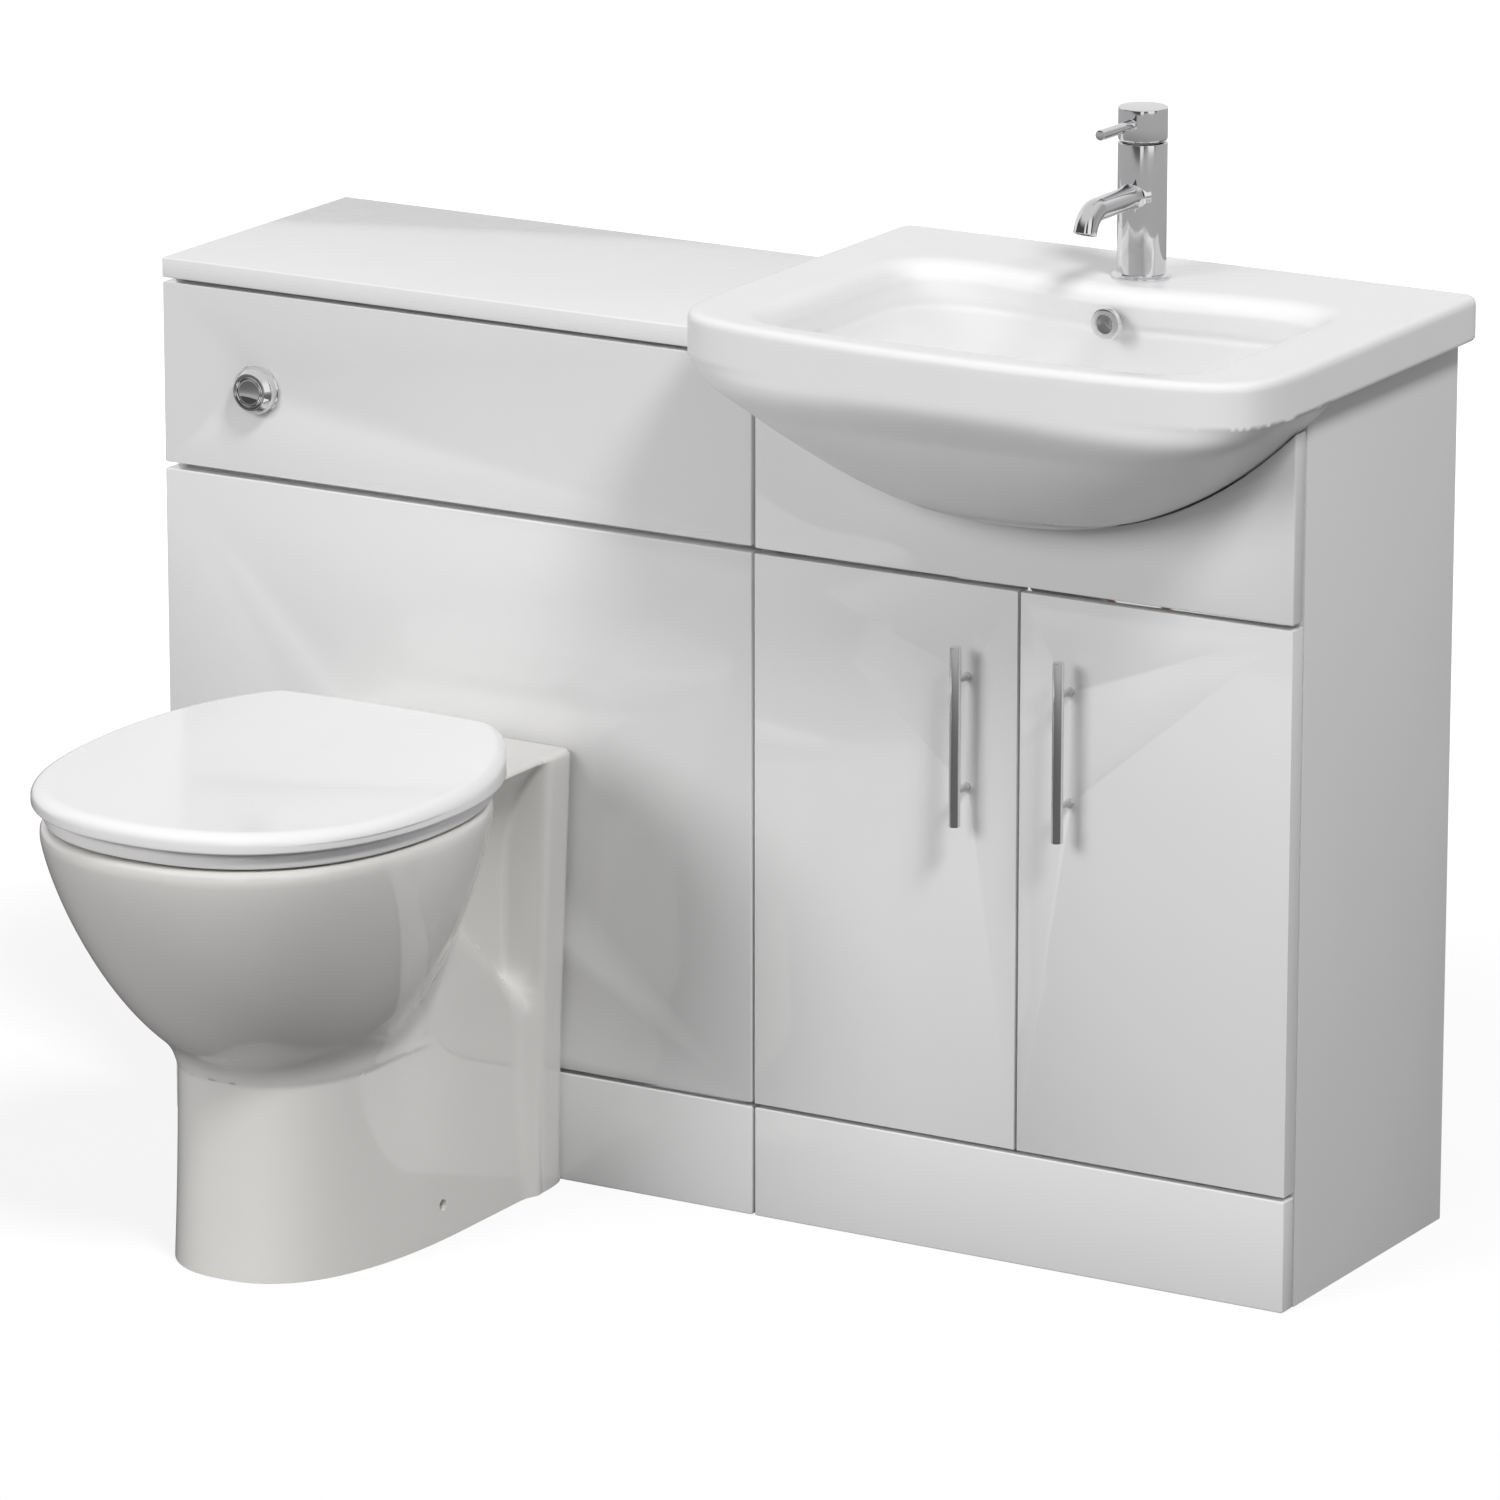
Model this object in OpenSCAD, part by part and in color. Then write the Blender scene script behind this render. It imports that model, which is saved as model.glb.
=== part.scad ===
// Toilet and basin combination: a WC unit with back-to-wall pan and concealed cistern,
// joined to a two-door vanity unit with a semi-recessed basin and a single-lever mixer tap.
// Millimetres, +Z up. Working axes: X from the left end, Y from the faces of the fronts
// back to the wall, Z from the floor. place() moves all of it to the middle of its box.

/* [Cabinets] */
// Width of the WC unit
wc_w = 600; // [560:5:700]
// Width of the vanity unit
vanity_w = 514; // [500:1:540]
// Depth from the faces of the fronts to the wall
unit_d = 294; // [285:1:330]
// Height of the WC unit under its worktop
wc_h = 760; // [750:1:800]
// Thickness of the cabinet boards
board = 18; // [16:1:19]
// Thickness of the worktop
worktop_t = 18; // [16:1:28]
// Height of the plinths
plinth_h = 97.5; // [80:0.5:120]
// Top edge of the doors and of the lower panel
door_top = 589; // [570:1:600]
// Gap between neighbouring fronts
front_gap = 3; // [2:0.5:4]
// Gap above the plinths
plinth_gap = 4; // [2:0.5:6]
// Gap between the lower and the upper panel of the WC unit
flush_gap = 6; // [3:0.5:8]
// Gap between the doors and the fascia
fascia_gap = 4.5; // [3:0.5:8]
// Set-back of the carcass behind the fronts
carcass_gap = 2; // [1.5:0.5:3]
// Reveal between a front and the outer end of its unit
end_reveal = 0.5; // [0:0.5:2]
// Depth of the connecting rails
rail_h = 60; // [50:1:80]

/* [Doors and handles] */
// Hole spacing of the bar handles
handle_cc = 96; // [64:32:128]
// Length of the handle bars
handle_len = 156; // [140:1:176]
// Diameter of the handle bars
handle_d = 10; // [8:0.5:12]
// Distance from the door face to the bar's axis
handle_out = 21; // [18:0.5:30]
// Height of the middle of the handles
handle_z = 462; // [440:1:480]
// Distance from the handle to the line where the doors meet
handle_in = 49; // [35:1:70]
// Diameter of the concealed hinge cups
cup_d = 35; // [34:0.5:36]
// Depth of the cup holes
cup_depth = 13.5; // [12.5:0.5:14]
// Distance from a door's end to its hinges
hinge_in = 80; // [70:1:110]

/* [Basin] */
// Width of the basin
basin_w = 556; // [550:1:570]
// How far the basin stands out in front of the doors
basin_out = 142; // [130:1:160]
// Bow of the basin's front edge
basin_bow = 28; // [15:1:35]
// Height of the basin's rim edge
rim_t = 38; // [34:1:45]
// Depth of the belly below the rim
belly_h = 128; // [120:1:134]
// Width of the bowl
bowl_w = 407; // [390:1:415]
// Length of the bowl from front to back
bowl_l = 275; // [265:1:280]
// Depth of the bowl
bowl_h = 150; // [140:1:155]
// Distance from the fronts to the tap's axis
tap_y = 209; // [205:1:225]
// Distance from the fronts to the waste
waste_y = 85; // [80:1:95]
// Diameter of the waste hole
waste_d = 46; // [44:0.5:48]
// Diameter of the tap hole
tap_hole_d = 35; // [33:0.5:36]

/* [Tap] */
// Diameter of the tap's body
tap_d = 42; // [38:1:46]
// Height of the tap above the basin
tap_h = 146; // [135:1:160]
// Height of the lever cap
cap_h = 27.5; // [24:0.5:32]
// Height of the spout's axis above the basin
spout_z = 72; // [60:1:80]
// Diameter of the spout
spout_d = 20; // [18:1:22]
// Reach from the tap's axis to the start of the spout's bend
spout_reach = 80; // [70:1:110]
// Length of the lever pin from the tap's axis
pin_len = 76; // [60:1:95]
// Diameter of the lever pin
pin_d = 9; // [7:0.5:11]

/* [Pan and seat] */
// Height of the pan's rim
pan_h = 394; // [388:1:416]
// Width of the pan at the rim
pan_w = 352; // [340:1:366]
// How far the pan stands out in front of the panel
pan_out = 497; // [480:1:520]
// Width of the foot
foot_w = 214; // [200:1:230]
// Width of the shelf behind the seat
shelf_w = 243; // [230:1:260]
// Width of the lid
lid_w = 368; // [356:1:382]
// How far the lid stands out in front of the panel
lid_out = 502; // [485:1:527]
// Distance from the panel to the lid's back edge
lid_back = 112; // [105:1:125]
// Height of the lid's top above the rim, at the back
lid_rise = 49; // [44:1:54]
// Fall of the lid's top towards the front
lid_fall = 13; // [7:1:17]
// Thickness of the seat ring
seat_t = 14; // [12:1:16]
// Thickness of the buffers under the seat
buffer_t = 2; // [2:0.5:4]
// Spacing of the seat fixings
seat_cc = 156; // [140:1:170]
// Diameter of the pan's outlet spigot
outlet_d = 102; // [98:1:106]
// Height of the outlet's axis
outlet_z = 185; // [178:1:195]
// Height of the flush inlet's axis
inlet_z = 330; // [320:1:345]

/* [Cistern and flush] */
// Distance from the left end to the button's axis
button_x = 98.5; // [80:0.5:120]
// Height of the button's axis
button_z = 671; // [665:0.5:680]
// Diameter of the button's bezel
bezel_d = 42; // [38:1:48]
// How far the bezel stands out
bezel_out = 14; // [10:0.5:16]
// Diameter of the button
button_d = 24; // [20:1:26]
// Width of the cistern
tank_w = 360; // [330:5:380]
// Depth of the cistern
tank_d = 134; // [120:1:145]
// Height of the cistern
tank_h = 261; // [240:1:265]
// Wall of the cistern
tank_wall = 4; // [3:0.5:5]

/* [Hidden] */

// running clearance on the radius, a touching gap, and an overlap that joins solids
run = 0.06;
clear = 0.3;
weld = 0.5;

// places worked out from the sizes above
all_w = wc_w + vanity_w;
vanity_x = wc_w + vanity_w/2;
carcass_y = board + carcass_gap;
vanity_h = wc_h + worktop_t + 2;
rim_top = vanity_h + rim_t;
side_right = all_w + (basin_w - vanity_w)/2;
mid_x = side_right/2;
mid_y = (unit_d - lid_out)/2;
pan_x = wc_w/2;
wc_front_x0 = end_reveal;
wc_front_x1 = wc_w - front_gap/2;
vanity_front_x0 = wc_w + front_gap/2;
vanity_front_x1 = all_w - end_reveal;
door_w = (vanity_front_x1 - vanity_front_x0 - front_gap)/2;
door_z0 = plinth_h + plinth_gap;
meet_x = (vanity_front_x0 + vanity_front_x1)/2;

module place() translate([-mid_x, -mid_y, 0]) children();
module block(x, y, z) translate([x[0], y[0], z[0]]) cube([x[1] - x[0], y[1] - y[0], z[1] - z[0]]);
module rod_x(x0, x1, r) translate([x0, 0, 0]) rotate([0, 90, 0]) cylinder(r = r, h = x1 - x0, $fn = 48);
module rod_y(y0, y1, r) translate([0, y1, 0]) rotate([90, 0, 0]) cylinder(r = r, h = y1 - y0, $fn = 64);
module rod_z(z0, z1, r) translate([0, 0, z0]) cylinder(r = r, h = z1 - z0, $fn = 64);

// ---- rounded outlines and skins ----
seg = 48;
function smooth(u) = let (c = min(1, max(0, u))) c*c*(3 - 2*c);
// one closed ring: half-width a, its own reach and squareness to the front and to the back
function ring(z, yc, a, front, back, nf, nb) = [for (i = [0:seg - 1])
    let (t = 360*i/seg, c = cos(t), s = sin(t), n = s < 0 ? nf : nb, b = s < 0 ? front : back,
        k = pow(pow(abs(c), n) + pow(abs(s), n), -1/n))
    [a*c*k, yc + b*s*k, z]];
// a closed solid through rings that run counter-clockwise and climb, each end fanned from its middle
function middle(r) = [for (k = [0:2]) [for (p = r) p[k]]*[for (p = r) 1]/len(r)];
module skin(rings) {
    n = len(rings[0]);
    m = len(rings);
    sides = [for (j = [0:m - 2], i = [0:n - 1])
        let (k = (i + 1)%n, p = j*n, q = (j + 1)*n)
        each [[p + i, q + i, q + k], [p + i, q + k, p + k]]];
    ends = [for (i = [0:n - 1]) let (k = (i + 1)%n, q = (m - 1)*n)
        each [[i, k, m*n], [q + k, q + i, m*n + 1]]];
    polyhedron(concat([for (r = rings) each r], [middle(rings[0]), middle(rings[m - 1])]),
        concat(sides, ends), convexity = 8);
}

// ---- WC unit ----
module wc_side_left() color("white") place()
    block([0, board], [carcass_y, unit_d], [0, wc_h]);
module wc_side_right() color("white") place()
    block([wc_w - board, wc_w], [carcass_y, unit_d], [0, wc_h]);

// a rail behind the top of the upper panel, and one behind the line where the panels meet
mid_rail_z = door_top + flush_gap/2 - rail_h/2;
module wc_front_rails() color("white") place()
    for (z = [wc_h - rail_h, mid_rail_z])
        block([board, wc_w - board], [board, 2*board], [z, z + rail_h]);

rear_rail_z = wc_h - 20 - 90;
module wc_rear_rail() color("white") place()
    block([board, wc_w - board], [unit_d - board, unit_d], [rear_rail_z, rear_rail_z + 90]);
module wc_worktop() color("white") place()
    block([0, wc_w - clear], [0, unit_d], [wc_h, wc_h + worktop_t]);

sleeve_r = 16;
module wc_flush_panel() color("white") place() difference() {
    block([wc_front_x0, wc_front_x1], [0, board], [door_top + flush_gap, wc_h - 3.6]);
    translate([button_x, 0, button_z]) rod_y(-1, board + 1, sleeve_r + clear);
}

outlet_hole_r = outlet_d/2 + 12;
inlet_hole_r = 34;
module wc_lower_panel() color("white") place() difference() {
    block([wc_front_x0, wc_front_x1], [0, board], [door_z0, door_top]);
    translate([pan_x, 0, outlet_z]) rod_y(-1, board + 1, outlet_hole_r);
    translate([pan_x, 0, inlet_z]) rod_y(-1, board + 1, inlet_hole_r);
}
module wc_plinth() color("white") place()
    block([wc_front_x0, wc_front_x1], [0, board], [0, plinth_h]);

// ---- cistern ----
tank_x0 = pan_x + 10 - tank_w/2;
tank_y1 = unit_d - board - 14;
tank_y0 = tank_y1 - tank_d;
tank_z1 = rear_rail_z + 40;
tank_z0 = tank_z1 - tank_h;
valve_y = (tank_y0 + tank_y1)/2;
floor_z = tank_z0 + tank_wall;
fill_x = tank_x0 + 42;
valve_tail_r = 24;
fill_tail_r = 10.48;
module cistern_tank() color("whitesmoke") place() difference() {
    union() {
        block([tank_x0, tank_x0 + tank_w], [tank_y0, tank_y1], [tank_z0, tank_z1]);
        for (x = [tank_x0 + 50, tank_x0 + tank_w - 90])
            block([x, x + 40], [tank_y1 - weld, unit_d - board], [tank_z1 - 30, tank_z1 - 5]);
    }
    block([tank_x0 + tank_wall, tank_x0 + tank_w - tank_wall],
        [tank_y0 + tank_wall, tank_y1 - tank_wall], [floor_z, tank_z1 + 1]);
    translate([pan_x, valve_y, 0]) rod_z(tank_z0 - 1, floor_z + 1, valve_tail_r + clear);
    translate([fill_x, valve_y, 0]) rod_z(tank_z0 - 1, floor_z + 1, fill_tail_r + clear);
}
lid_hole_r = 8;
module cistern_lid() color("whitesmoke") place() difference() {
    block([tank_x0 - 3, tank_x0 + tank_w + 3], [tank_y0 - 3, tank_y1 + 3], [tank_z1, tank_z1 + 4]);
    translate([pan_x, valve_y, 0]) rod_z(tank_z1 - 1, tank_z1 + 5, lid_hole_r);
}

// inlet valve: threaded tail below the tank, riser and head, with a float cup that slides on it
riser_r = 10;
float_z = floor_z + 6.3;
float_h = 60;
module fill_valve() color("silver") place() translate([fill_x, valve_y, 0]) {
    rod_z(tank_z0 - 29, floor_z + weld, fill_tail_r);
    rod_z(floor_z, floor_z + 6, 17);
    rod_z(floor_z + 5, tank_z1 - 30, riser_r);
    rod_z(tank_z1 - 38, tank_z1 - 8, 16);
    difference() {
        rod_z(tank_z0 - 10, tank_z0, 18);
        rod_z(tank_z0 - 11, tank_z0 + 1, fill_tail_r - weld);
    }
}
module float_cup() color("dimgray") place() translate([fill_x, valve_y, 0]) difference() {
    rod_z(float_z, float_z + float_h, 28);
    rod_z(float_z - 1, float_z + float_h + 1, riser_r + run);
}

// outlet valve: tail, seat, cage and air actuator; the piston lifts off the seat inside the cage
cage_top = tank_z1 - 86;
piston_lift = 14;
piston_r = 16;
guide_r = 12.9;
valve_bore_r = 20;
actuator_top = tank_z1 - 50;
nozzle_r = 3.2;
module flush_valve() color("gainsboro") place() translate([pan_x, valve_y, 0]) {
    difference() {
        union() {
            rod_z(tank_z0 - 24, floor_z + weld, valve_tail_r);
            rod_z(floor_z, floor_z + 8, 40);
            for (a = [45:90:315]) rotate(a) translate([34, 0, 0]) rod_z(floor_z + 7, cage_top + 1, 4);
        }
        rod_z(tank_z0 - 25, floor_z + 9, valve_bore_r);
    }
    rod_z(cage_top, cage_top + 6, 40);
    rod_z(cage_top + 5, actuator_top, 22);
    rod_z(cage_top - 40, cage_top + 1, guide_r);
    rod_z(actuator_top - 1, actuator_top + 12, nozzle_r);
}
module flush_piston() color("steelblue") place() translate([pan_x, valve_y, 0]) difference() {
    union() {
        rod_z(floor_z + 8, floor_z + 14, 28);
        rod_z(floor_z + 13, cage_top - piston_lift - 1, piston_r);
    }
    rod_z(cage_top - 40 - piston_lift - 2, cage_top, guide_r + run);
}

// flush pipe: socket over the valve's tail, swept bend, straight run into the pan
pipe_r = 22;
pipe_bend = 45;
pipe_top = tank_z0 - 24;
bend_z = inlet_z + pipe_bend;
pipe_end = -22;
module tube_y(y0, y1, r, bore) difference() {
    rod_y(y0, y1, r);
    rod_y(y0 - 1, y1 + 1, bore);
}
module tube_z(z0, z1, r, bore) difference() {
    rod_z(z0, z1, r);
    rod_z(z0 - 1, z1 + 1, bore);
}
module flush_pipe() color("white") place() translate([pan_x, 0, 0]) {
    translate([0, 0, inlet_z]) tube_y(pipe_end, valve_y - pipe_bend, pipe_r, valve_bore_r);
    translate([0, valve_y - pipe_bend, bend_z]) rotate([0, 90, 0])
        rotate_extrude(angle = 90, $fn = 64) translate([pipe_bend, 0]) difference() {
            circle(r = pipe_r, $fn = 48);
            circle(r = valve_bore_r, $fn = 48);
        }
    translate([0, valve_y, 0]) {
        tube_z(bend_z, pipe_top - 1, pipe_r, valve_bore_r);
        difference() {
            rod_z(pipe_top - 4, pipe_top + 18, 28);
            rod_z(pipe_top - 5, pipe_top + 1, valve_bore_r);
            rod_z(pipe_top, pipe_top + 19, valve_tail_r + run);
        }
    }
}
seal_r = 27;
module flush_pipe_seal() color("dimgray") place() translate([pan_x, 0, inlet_z]) difference() {
    union() {
        rod_y(-20, 1, seal_r);
        rod_y(0, 6, 31);
    }
    rod_y(-21, 7, pipe_r + run);
}

// ---- flush button ----
// turned rings about the button's axis, with their profiles as radius and distance from the face
module turned() rotate([90, 0, 0]) rotate_extrude($fn = 96) children();
bezel_round = 6;
module flush_bezel() color("silver") place() translate([button_x, 0, button_z]) turned() difference() {
    union() {
        translate([0, -board - carcass_gap]) square([sleeve_r, board + carcass_gap + bezel_out - 2]);
        square([bezel_d/2 + 1.5, 1]);
        square([bezel_d/2, bezel_out - bezel_round]);
        square([bezel_d/2 - bezel_round, bezel_out]);
        translate([bezel_d/2 - bezel_round, bezel_out - bezel_round]) circle(r = bezel_round, $fn = 48);
    }
    translate([0, -board - 20]) square([button_d/2 + clear, 100]);
    translate([button_d/2 + 2.5, bezel_out - 0.8]) square([0.8, 2]);
    translate([-50, -60]) square([50, 120]);
}
module flush_button() color("silver") place() translate([button_x, 0, button_z]) turned() difference() {
    union() {
        translate([0, -board + 6]) square([button_d/2, board + bezel_out - 7.5]);
        translate([0, -board - 8]) square([8, 20]);
        translate([0, -pump_y - pump_stop]) square([pump_r - run, 6]);
    }
    translate([0, bezel_out + 38]) circle(r = 40, $fn = 96);
    translate([-50, -60]) square([50, 120]);
}
// the air pump behind the panel: the button's stem is its piston, and its nozzle is at the back
pump_y = board + carcass_gap;
pump_l = 42;
pump_r = 15;
pump_stop = 8;
module flush_pump() color("whitesmoke") place() translate([button_x, 0, button_z]) {
    difference() {
        rod_y(pump_y, pump_y + pump_l, pump_r + 4);
        rod_y(pump_y - 1, pump_y + pump_l - 4, pump_r);
    }
    rod_y(pump_y + pump_l - 1, pump_y + pump_l + 10, nozzle_r);
}

// air tube from the pump over the tank's rim and down to the actuator
tube_r = 3.2;
tube_gap = 13.5;
tube_start = [button_x, pump_y + pump_l + 10, button_z];
tube_end = [pan_x, valve_y, actuator_top + 12];
tube_route = [tube_start, tube_start + [0, 22, 0], [tank_x0 - tube_gap - 14, 130, button_z + 8],
    [tank_x0 - tube_gap, 160, tank_z1 + 12], [button_x + 56, 184, tank_z1 + 24],
    [button_x + 120, valve_y, tank_z1 + 28], [pan_x - 26, valve_y, tank_z1 + 24],
    [pan_x - 5, valve_y, tank_z1 + 14], tube_end + [0, 0, 44], tube_end];
function blend(p, q, r, s, u) = 0.5*((2*q) + (r - p)*u + (2*p - 5*q + 4*r - s)*u*u
    + (3*q - p - 3*r + s)*u*u*u);
function unit(v) = v/norm(v);
module swept_tube(route, r, sides) {
    last = len(route) - 1;
    line = [for (i = [0:last - 1], u = [0:0.5:0.5])
        blend(route[max(0, i - 1)], route[i], route[i + 1], route[min(last, i + 2)], u), route[last]];
    m = len(line) - 1;
    rings = [for (i = [0:m])
        let (d = i == 0 ? line[1] - line[0] : i == m ? line[m] - line[m - 1] : line[i + 1] - line[i - 1],
            w = unit(i == 0 ? [0, 1, 0] : i == m ? [0, 0, -1] : d),
            a = unit(cross(w, abs(w[0]) < 0.9 ? [1, 0, 0] : [0, 0, 1])), b = cross(w, a))
        [for (j = [0:sides - 1]) let (t = 360*j/sides) line[i] + r*(cos(t)*a + sin(t)*b)]];
    skin([for (q = rings) [for (j = [sides - 1:-1:0]) q[j]]]);
}
module flush_air_tube() color("gray") place() swept_tube(tube_route, tube_r, 8);

// ---- pan ----
bowl_z1 = pan_h - 10;
bowl_z0 = pan_h - 222;
neck_z = pan_h - 213;
bowl_a = pan_w/2;
bowl_front = 212;
bowl_behind = 206;
bowl_square = 2.3;
bowl_yc = -pan_out + bowl_front;
function bowl_s(z) = let (t = min(1, max(0, (bowl_z1 - z)/(bowl_z1 - bowl_z0))))
    0.3 + 0.7*pow(1 - pow(t, 1.5), 1/1.9);
function bowl_ring(z, s, grow) = ring(z, bowl_yc + 24*(1 - s), bowl_a*s + grow, bowl_front*s + grow,
    bowl_behind*s + grow, bowl_square, 2);
// the foot flares below the neck: "u" is 0 on the floor and 1 at the neck
function foot_ring(z, grow) = let (u = 1 - pow(1 - min(1, max(0, z/neck_z)), 1.7), yc = -150 - 40*u,
    f = pan_out - 120 - 8*u + grow)
    ring(z, yc, foot_w/2 - 9*u + grow, f + yc, -yc + grow, 2.5, 8);
outlet_bore_r = 45;
inlet_bore_r = seal_r + 0.05;
inlet_way_r = 20;
screw_y = -190;
screw_z = 30;
post_y = -lid_back - 11;
fixing_r = 8;
fixing_l = 40;
module pan_outside() {
    drops = [208, 200, 190, 176, 160, 140, 116, 88, 56, 28, 10];
    skin([for (d = drops) bowl_ring(pan_h - d, bowl_s(pan_h - d), 0),
        bowl_ring(pan_h - 4, 1, -2), bowl_ring(pan_h - 1, 1, -5), bowl_ring(pan_h, 1, -8)]);
    skin([for (u = [0:0.2:1.2]) foot_ring(neck_z*u, 0)]);
    trap_h = pan_h - 93;
    skin([for (u = [0, 0.2, 0.4, 0.6, 0.75, 0.9, 1]) ring(trap_h*u, -95, foot_w/2 - 6 - 45*u*u*u, 85, 85, 3, 3)]);
    skin([for (u = [0, 0.5, 1]) ring((pan_h - 12)*u, -22.5,
        foot_w/2 - 3 + (shelf_w - foot_w + 6)/2*u, 22.5, 22.5, 12, 12)]);
    skin([for (d = [190, 110, 60, 36, 22, 12])
        ring(pan_h - d, -75, 76 + (shelf_w/2 - 78)*pow(1 - d/200, 5), 75, 75, 8, 12),
        ring(pan_h - 10, -75, shelf_w/2, 75, 75, 8, 12), ring(pan_h - 4, -75, shelf_w/2, 75, 75, 8, 12),
        ring(pan_h - 1, -75, shelf_w/2 - 1.5, 75, 75, 8, 12), ring(pan_h, -75, shelf_w/2 - 4, 75, 75, 8, 12)]);
}
bowl_back = 0.66;
function bowl_inside(z, s, grow) = let (b = bowl_front*s + grow)
    ring(z, bowl_yc + 24*(1 - s), bowl_a*s + grow, b, b*bowl_back, 2, 2.2);
module pan_bowl() {
    lip = -38;
    wall = -17;
    skin([for (d = [192, 180, 160, 130, 90, 50]) bowl_inside(pan_h - d, bowl_s(pan_h - d + 12), wall),
        bowl_inside(pan_h - 34, 1, wall), bowl_inside(pan_h - 26, 1, lip),
        bowl_inside(pan_h - 5, 1, lip), bowl_inside(pan_h + 1, 1, lip + 5)]);
}
module pan() color("linen") place() translate([pan_x, 0, 0]) {
    difference() {
        union() {
            difference() {
                pan_outside();
                skin([foot_ring(-1, -14), foot_ring(neck_z*0.5, -14), foot_ring(neck_z*0.72, -30)]);
                block([18 - foot_w/2, foot_w/2 - 18], [-32, 1], [-2, outlet_z + 90]);
            }
            translate([0, 0, outlet_z]) rod_y(-200, 60, outlet_d/2);
        }
        pan_bowl();
        translate([0, 0, outlet_z]) rod_y(-240, 61, outlet_bore_r);
        translate([0, 0, inlet_z]) rod_y(-24, 1, inlet_bore_r);
        translate([0, 0, inlet_z]) rod_y(-170, 0, inlet_way_r);
        for (s = [-1, 1]) {
            translate([s*seat_cc/2, post_y, 0]) rod_z(pan_h - fixing_l, pan_h + 1, fixing_r);
            translate([0, screw_y, screw_z]) rod_x(s > 0 ? 60 : -foot_w, s > 0 ? foot_w : -60, 4);
        }
    }
}
// soil connector: socket over the pan's spigot and a pipe back to the wall
soil_r = 55;
module pan_connector() color("gray") place() translate([pan_x, 0, outlet_z]) difference() {
    union() {
        rod_y(20, 76, outlet_d/2 + 7);
        rod_y(75, unit_d, soil_r);
    }
    rod_y(19, 62, outlet_d/2 + run);
    rod_y(60, unit_d + 1, outlet_bore_r + 5);
}
// angle brackets screwed to the floor inside the foot, with the screws that hold the pan to them
foot_wall = 14;
bracket_x = foot_w/2 - foot_wall - 9;
module pan_brackets() color("dimgray") place() for (s = [-1, 1])
    translate([pan_x, screw_y, 0]) mirror([s < 0 ? 1 : 0, 0, 0]) difference() {
        union() {
            block([bracket_x - 5, bracket_x], [-18, 18], [0, 44]);
            block([bracket_x - 34, bracket_x], [-18, 18], [0, 5]);
        }
        translate([0, 0, screw_z]) rod_x(bracket_x - 6, bracket_x + 1, 2.5 + run);
        translate([bracket_x - 20, 0, 0]) rod_z(-1, 6, 3.5);
    }
module pan_screws() color("silver") place() for (s = [-1, 1])
    translate([pan_x, screw_y, screw_z]) mirror([s < 0 ? 1 : 0, 0, 0]) {
        rod_x(bracket_x - 14, bracket_x + 16, 2.5);
        rod_x(bracket_x + 15, bracket_x + 18, 3.7);
    }

// ---- seat and lid ----
seat_z = pan_h + buffer_t;
seat_top = seat_z + seat_t;
hinge_z = pan_h + 14.5;
hinge_y = post_y;
lug_r = 7;
pin_r = 4;
post_half = 14;
post_foot_r = 11;
post_foot_t = 1.8;
lid_b = 218;
lid_square = 2.3;
lid_yc = -lid_out + lid_b;
lid_a = lid_w/2;
lid_z0 = seat_top + 1.5;
lid_wall = 4;
boss_x = 128;
boss_y = -230;
boss_z = seat_top + 4;
// an outline squared a little in front, oval behind and cut straight across the back, drawn in by "shrink"
function oval(z, shrink, y_cut, slope) = [for (i = [0:seg - 1])
    let (t = 360*i/seg, n = sin(t) < 0 ? lid_square : 2,
        x = (lid_a - shrink)*sign(cos(t))*pow(abs(cos(t)), 2/n),
        y = min(lid_yc + (lid_b - shrink)*sign(sin(t))*pow(abs(sin(t)), 2/n), y_cut))
    [x, y, z + slope*(y - y_cut)]];
module lug(x0, x1) translate([0, hinge_y, hinge_z]) rod_x(x0, x1, lug_r);
module pin_hole() translate([0, hinge_y, hinge_z]) rod_x(-140, 140, pin_r + run);
module seat() color("white") place() translate([pan_x, 0, 0]) difference() {
    union() {
        difference() {
            skin([oval(seat_z, 13, -lid_back - 20, 0), oval(seat_z + 3, 10, -lid_back - 20, 0),
                oval(seat_top - 4, 10, -lid_back - 20, 0), oval(seat_top, 15, -lid_back - 20, 0)]);
            skin([ring(seat_z - 1, lid_yc - 12, 102, 148, 118, 2.1, 2.1),
                ring(seat_z + 7, lid_yc - 12, 104, 150, 120, 2.1, 2.1),
                ring(seat_top + 1, lid_yc - 12, 112, 158, 128, 2.1, 2.1)]);
            for (s = [-1, 1]) translate([s*seat_cc/2, 0, 0])
                block([-post_half - 7, post_half + 7], [post_y - 19, 0], [seat_z - 1, seat_top + 1]);
        }
        for (s = [-1, 1]) for (x = [s*(seat_cc/2 - post_half - 6)]) {
            lug(x - 5.5, x + 5.5);
            block([x - 5.5, x + 5.5], [hinge_y - 16, hinge_y], [seat_z + 1, seat_top - 2]);
        }
    }
    pin_hole();
}
// the buffers lie under the middle of the seat ring, two in front and two behind
buffer_spots = [[lid_a - 44, lid_yc + 84], [lid_a - 52, lid_yc - 116]];
module seat_buffers() color("whitesmoke") place() for (s = [-1, 1], spot = buffer_spots)
    translate([pan_x + s*spot[0], spot[1], 0]) rod_z(pan_h, seat_z, 8);

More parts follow.
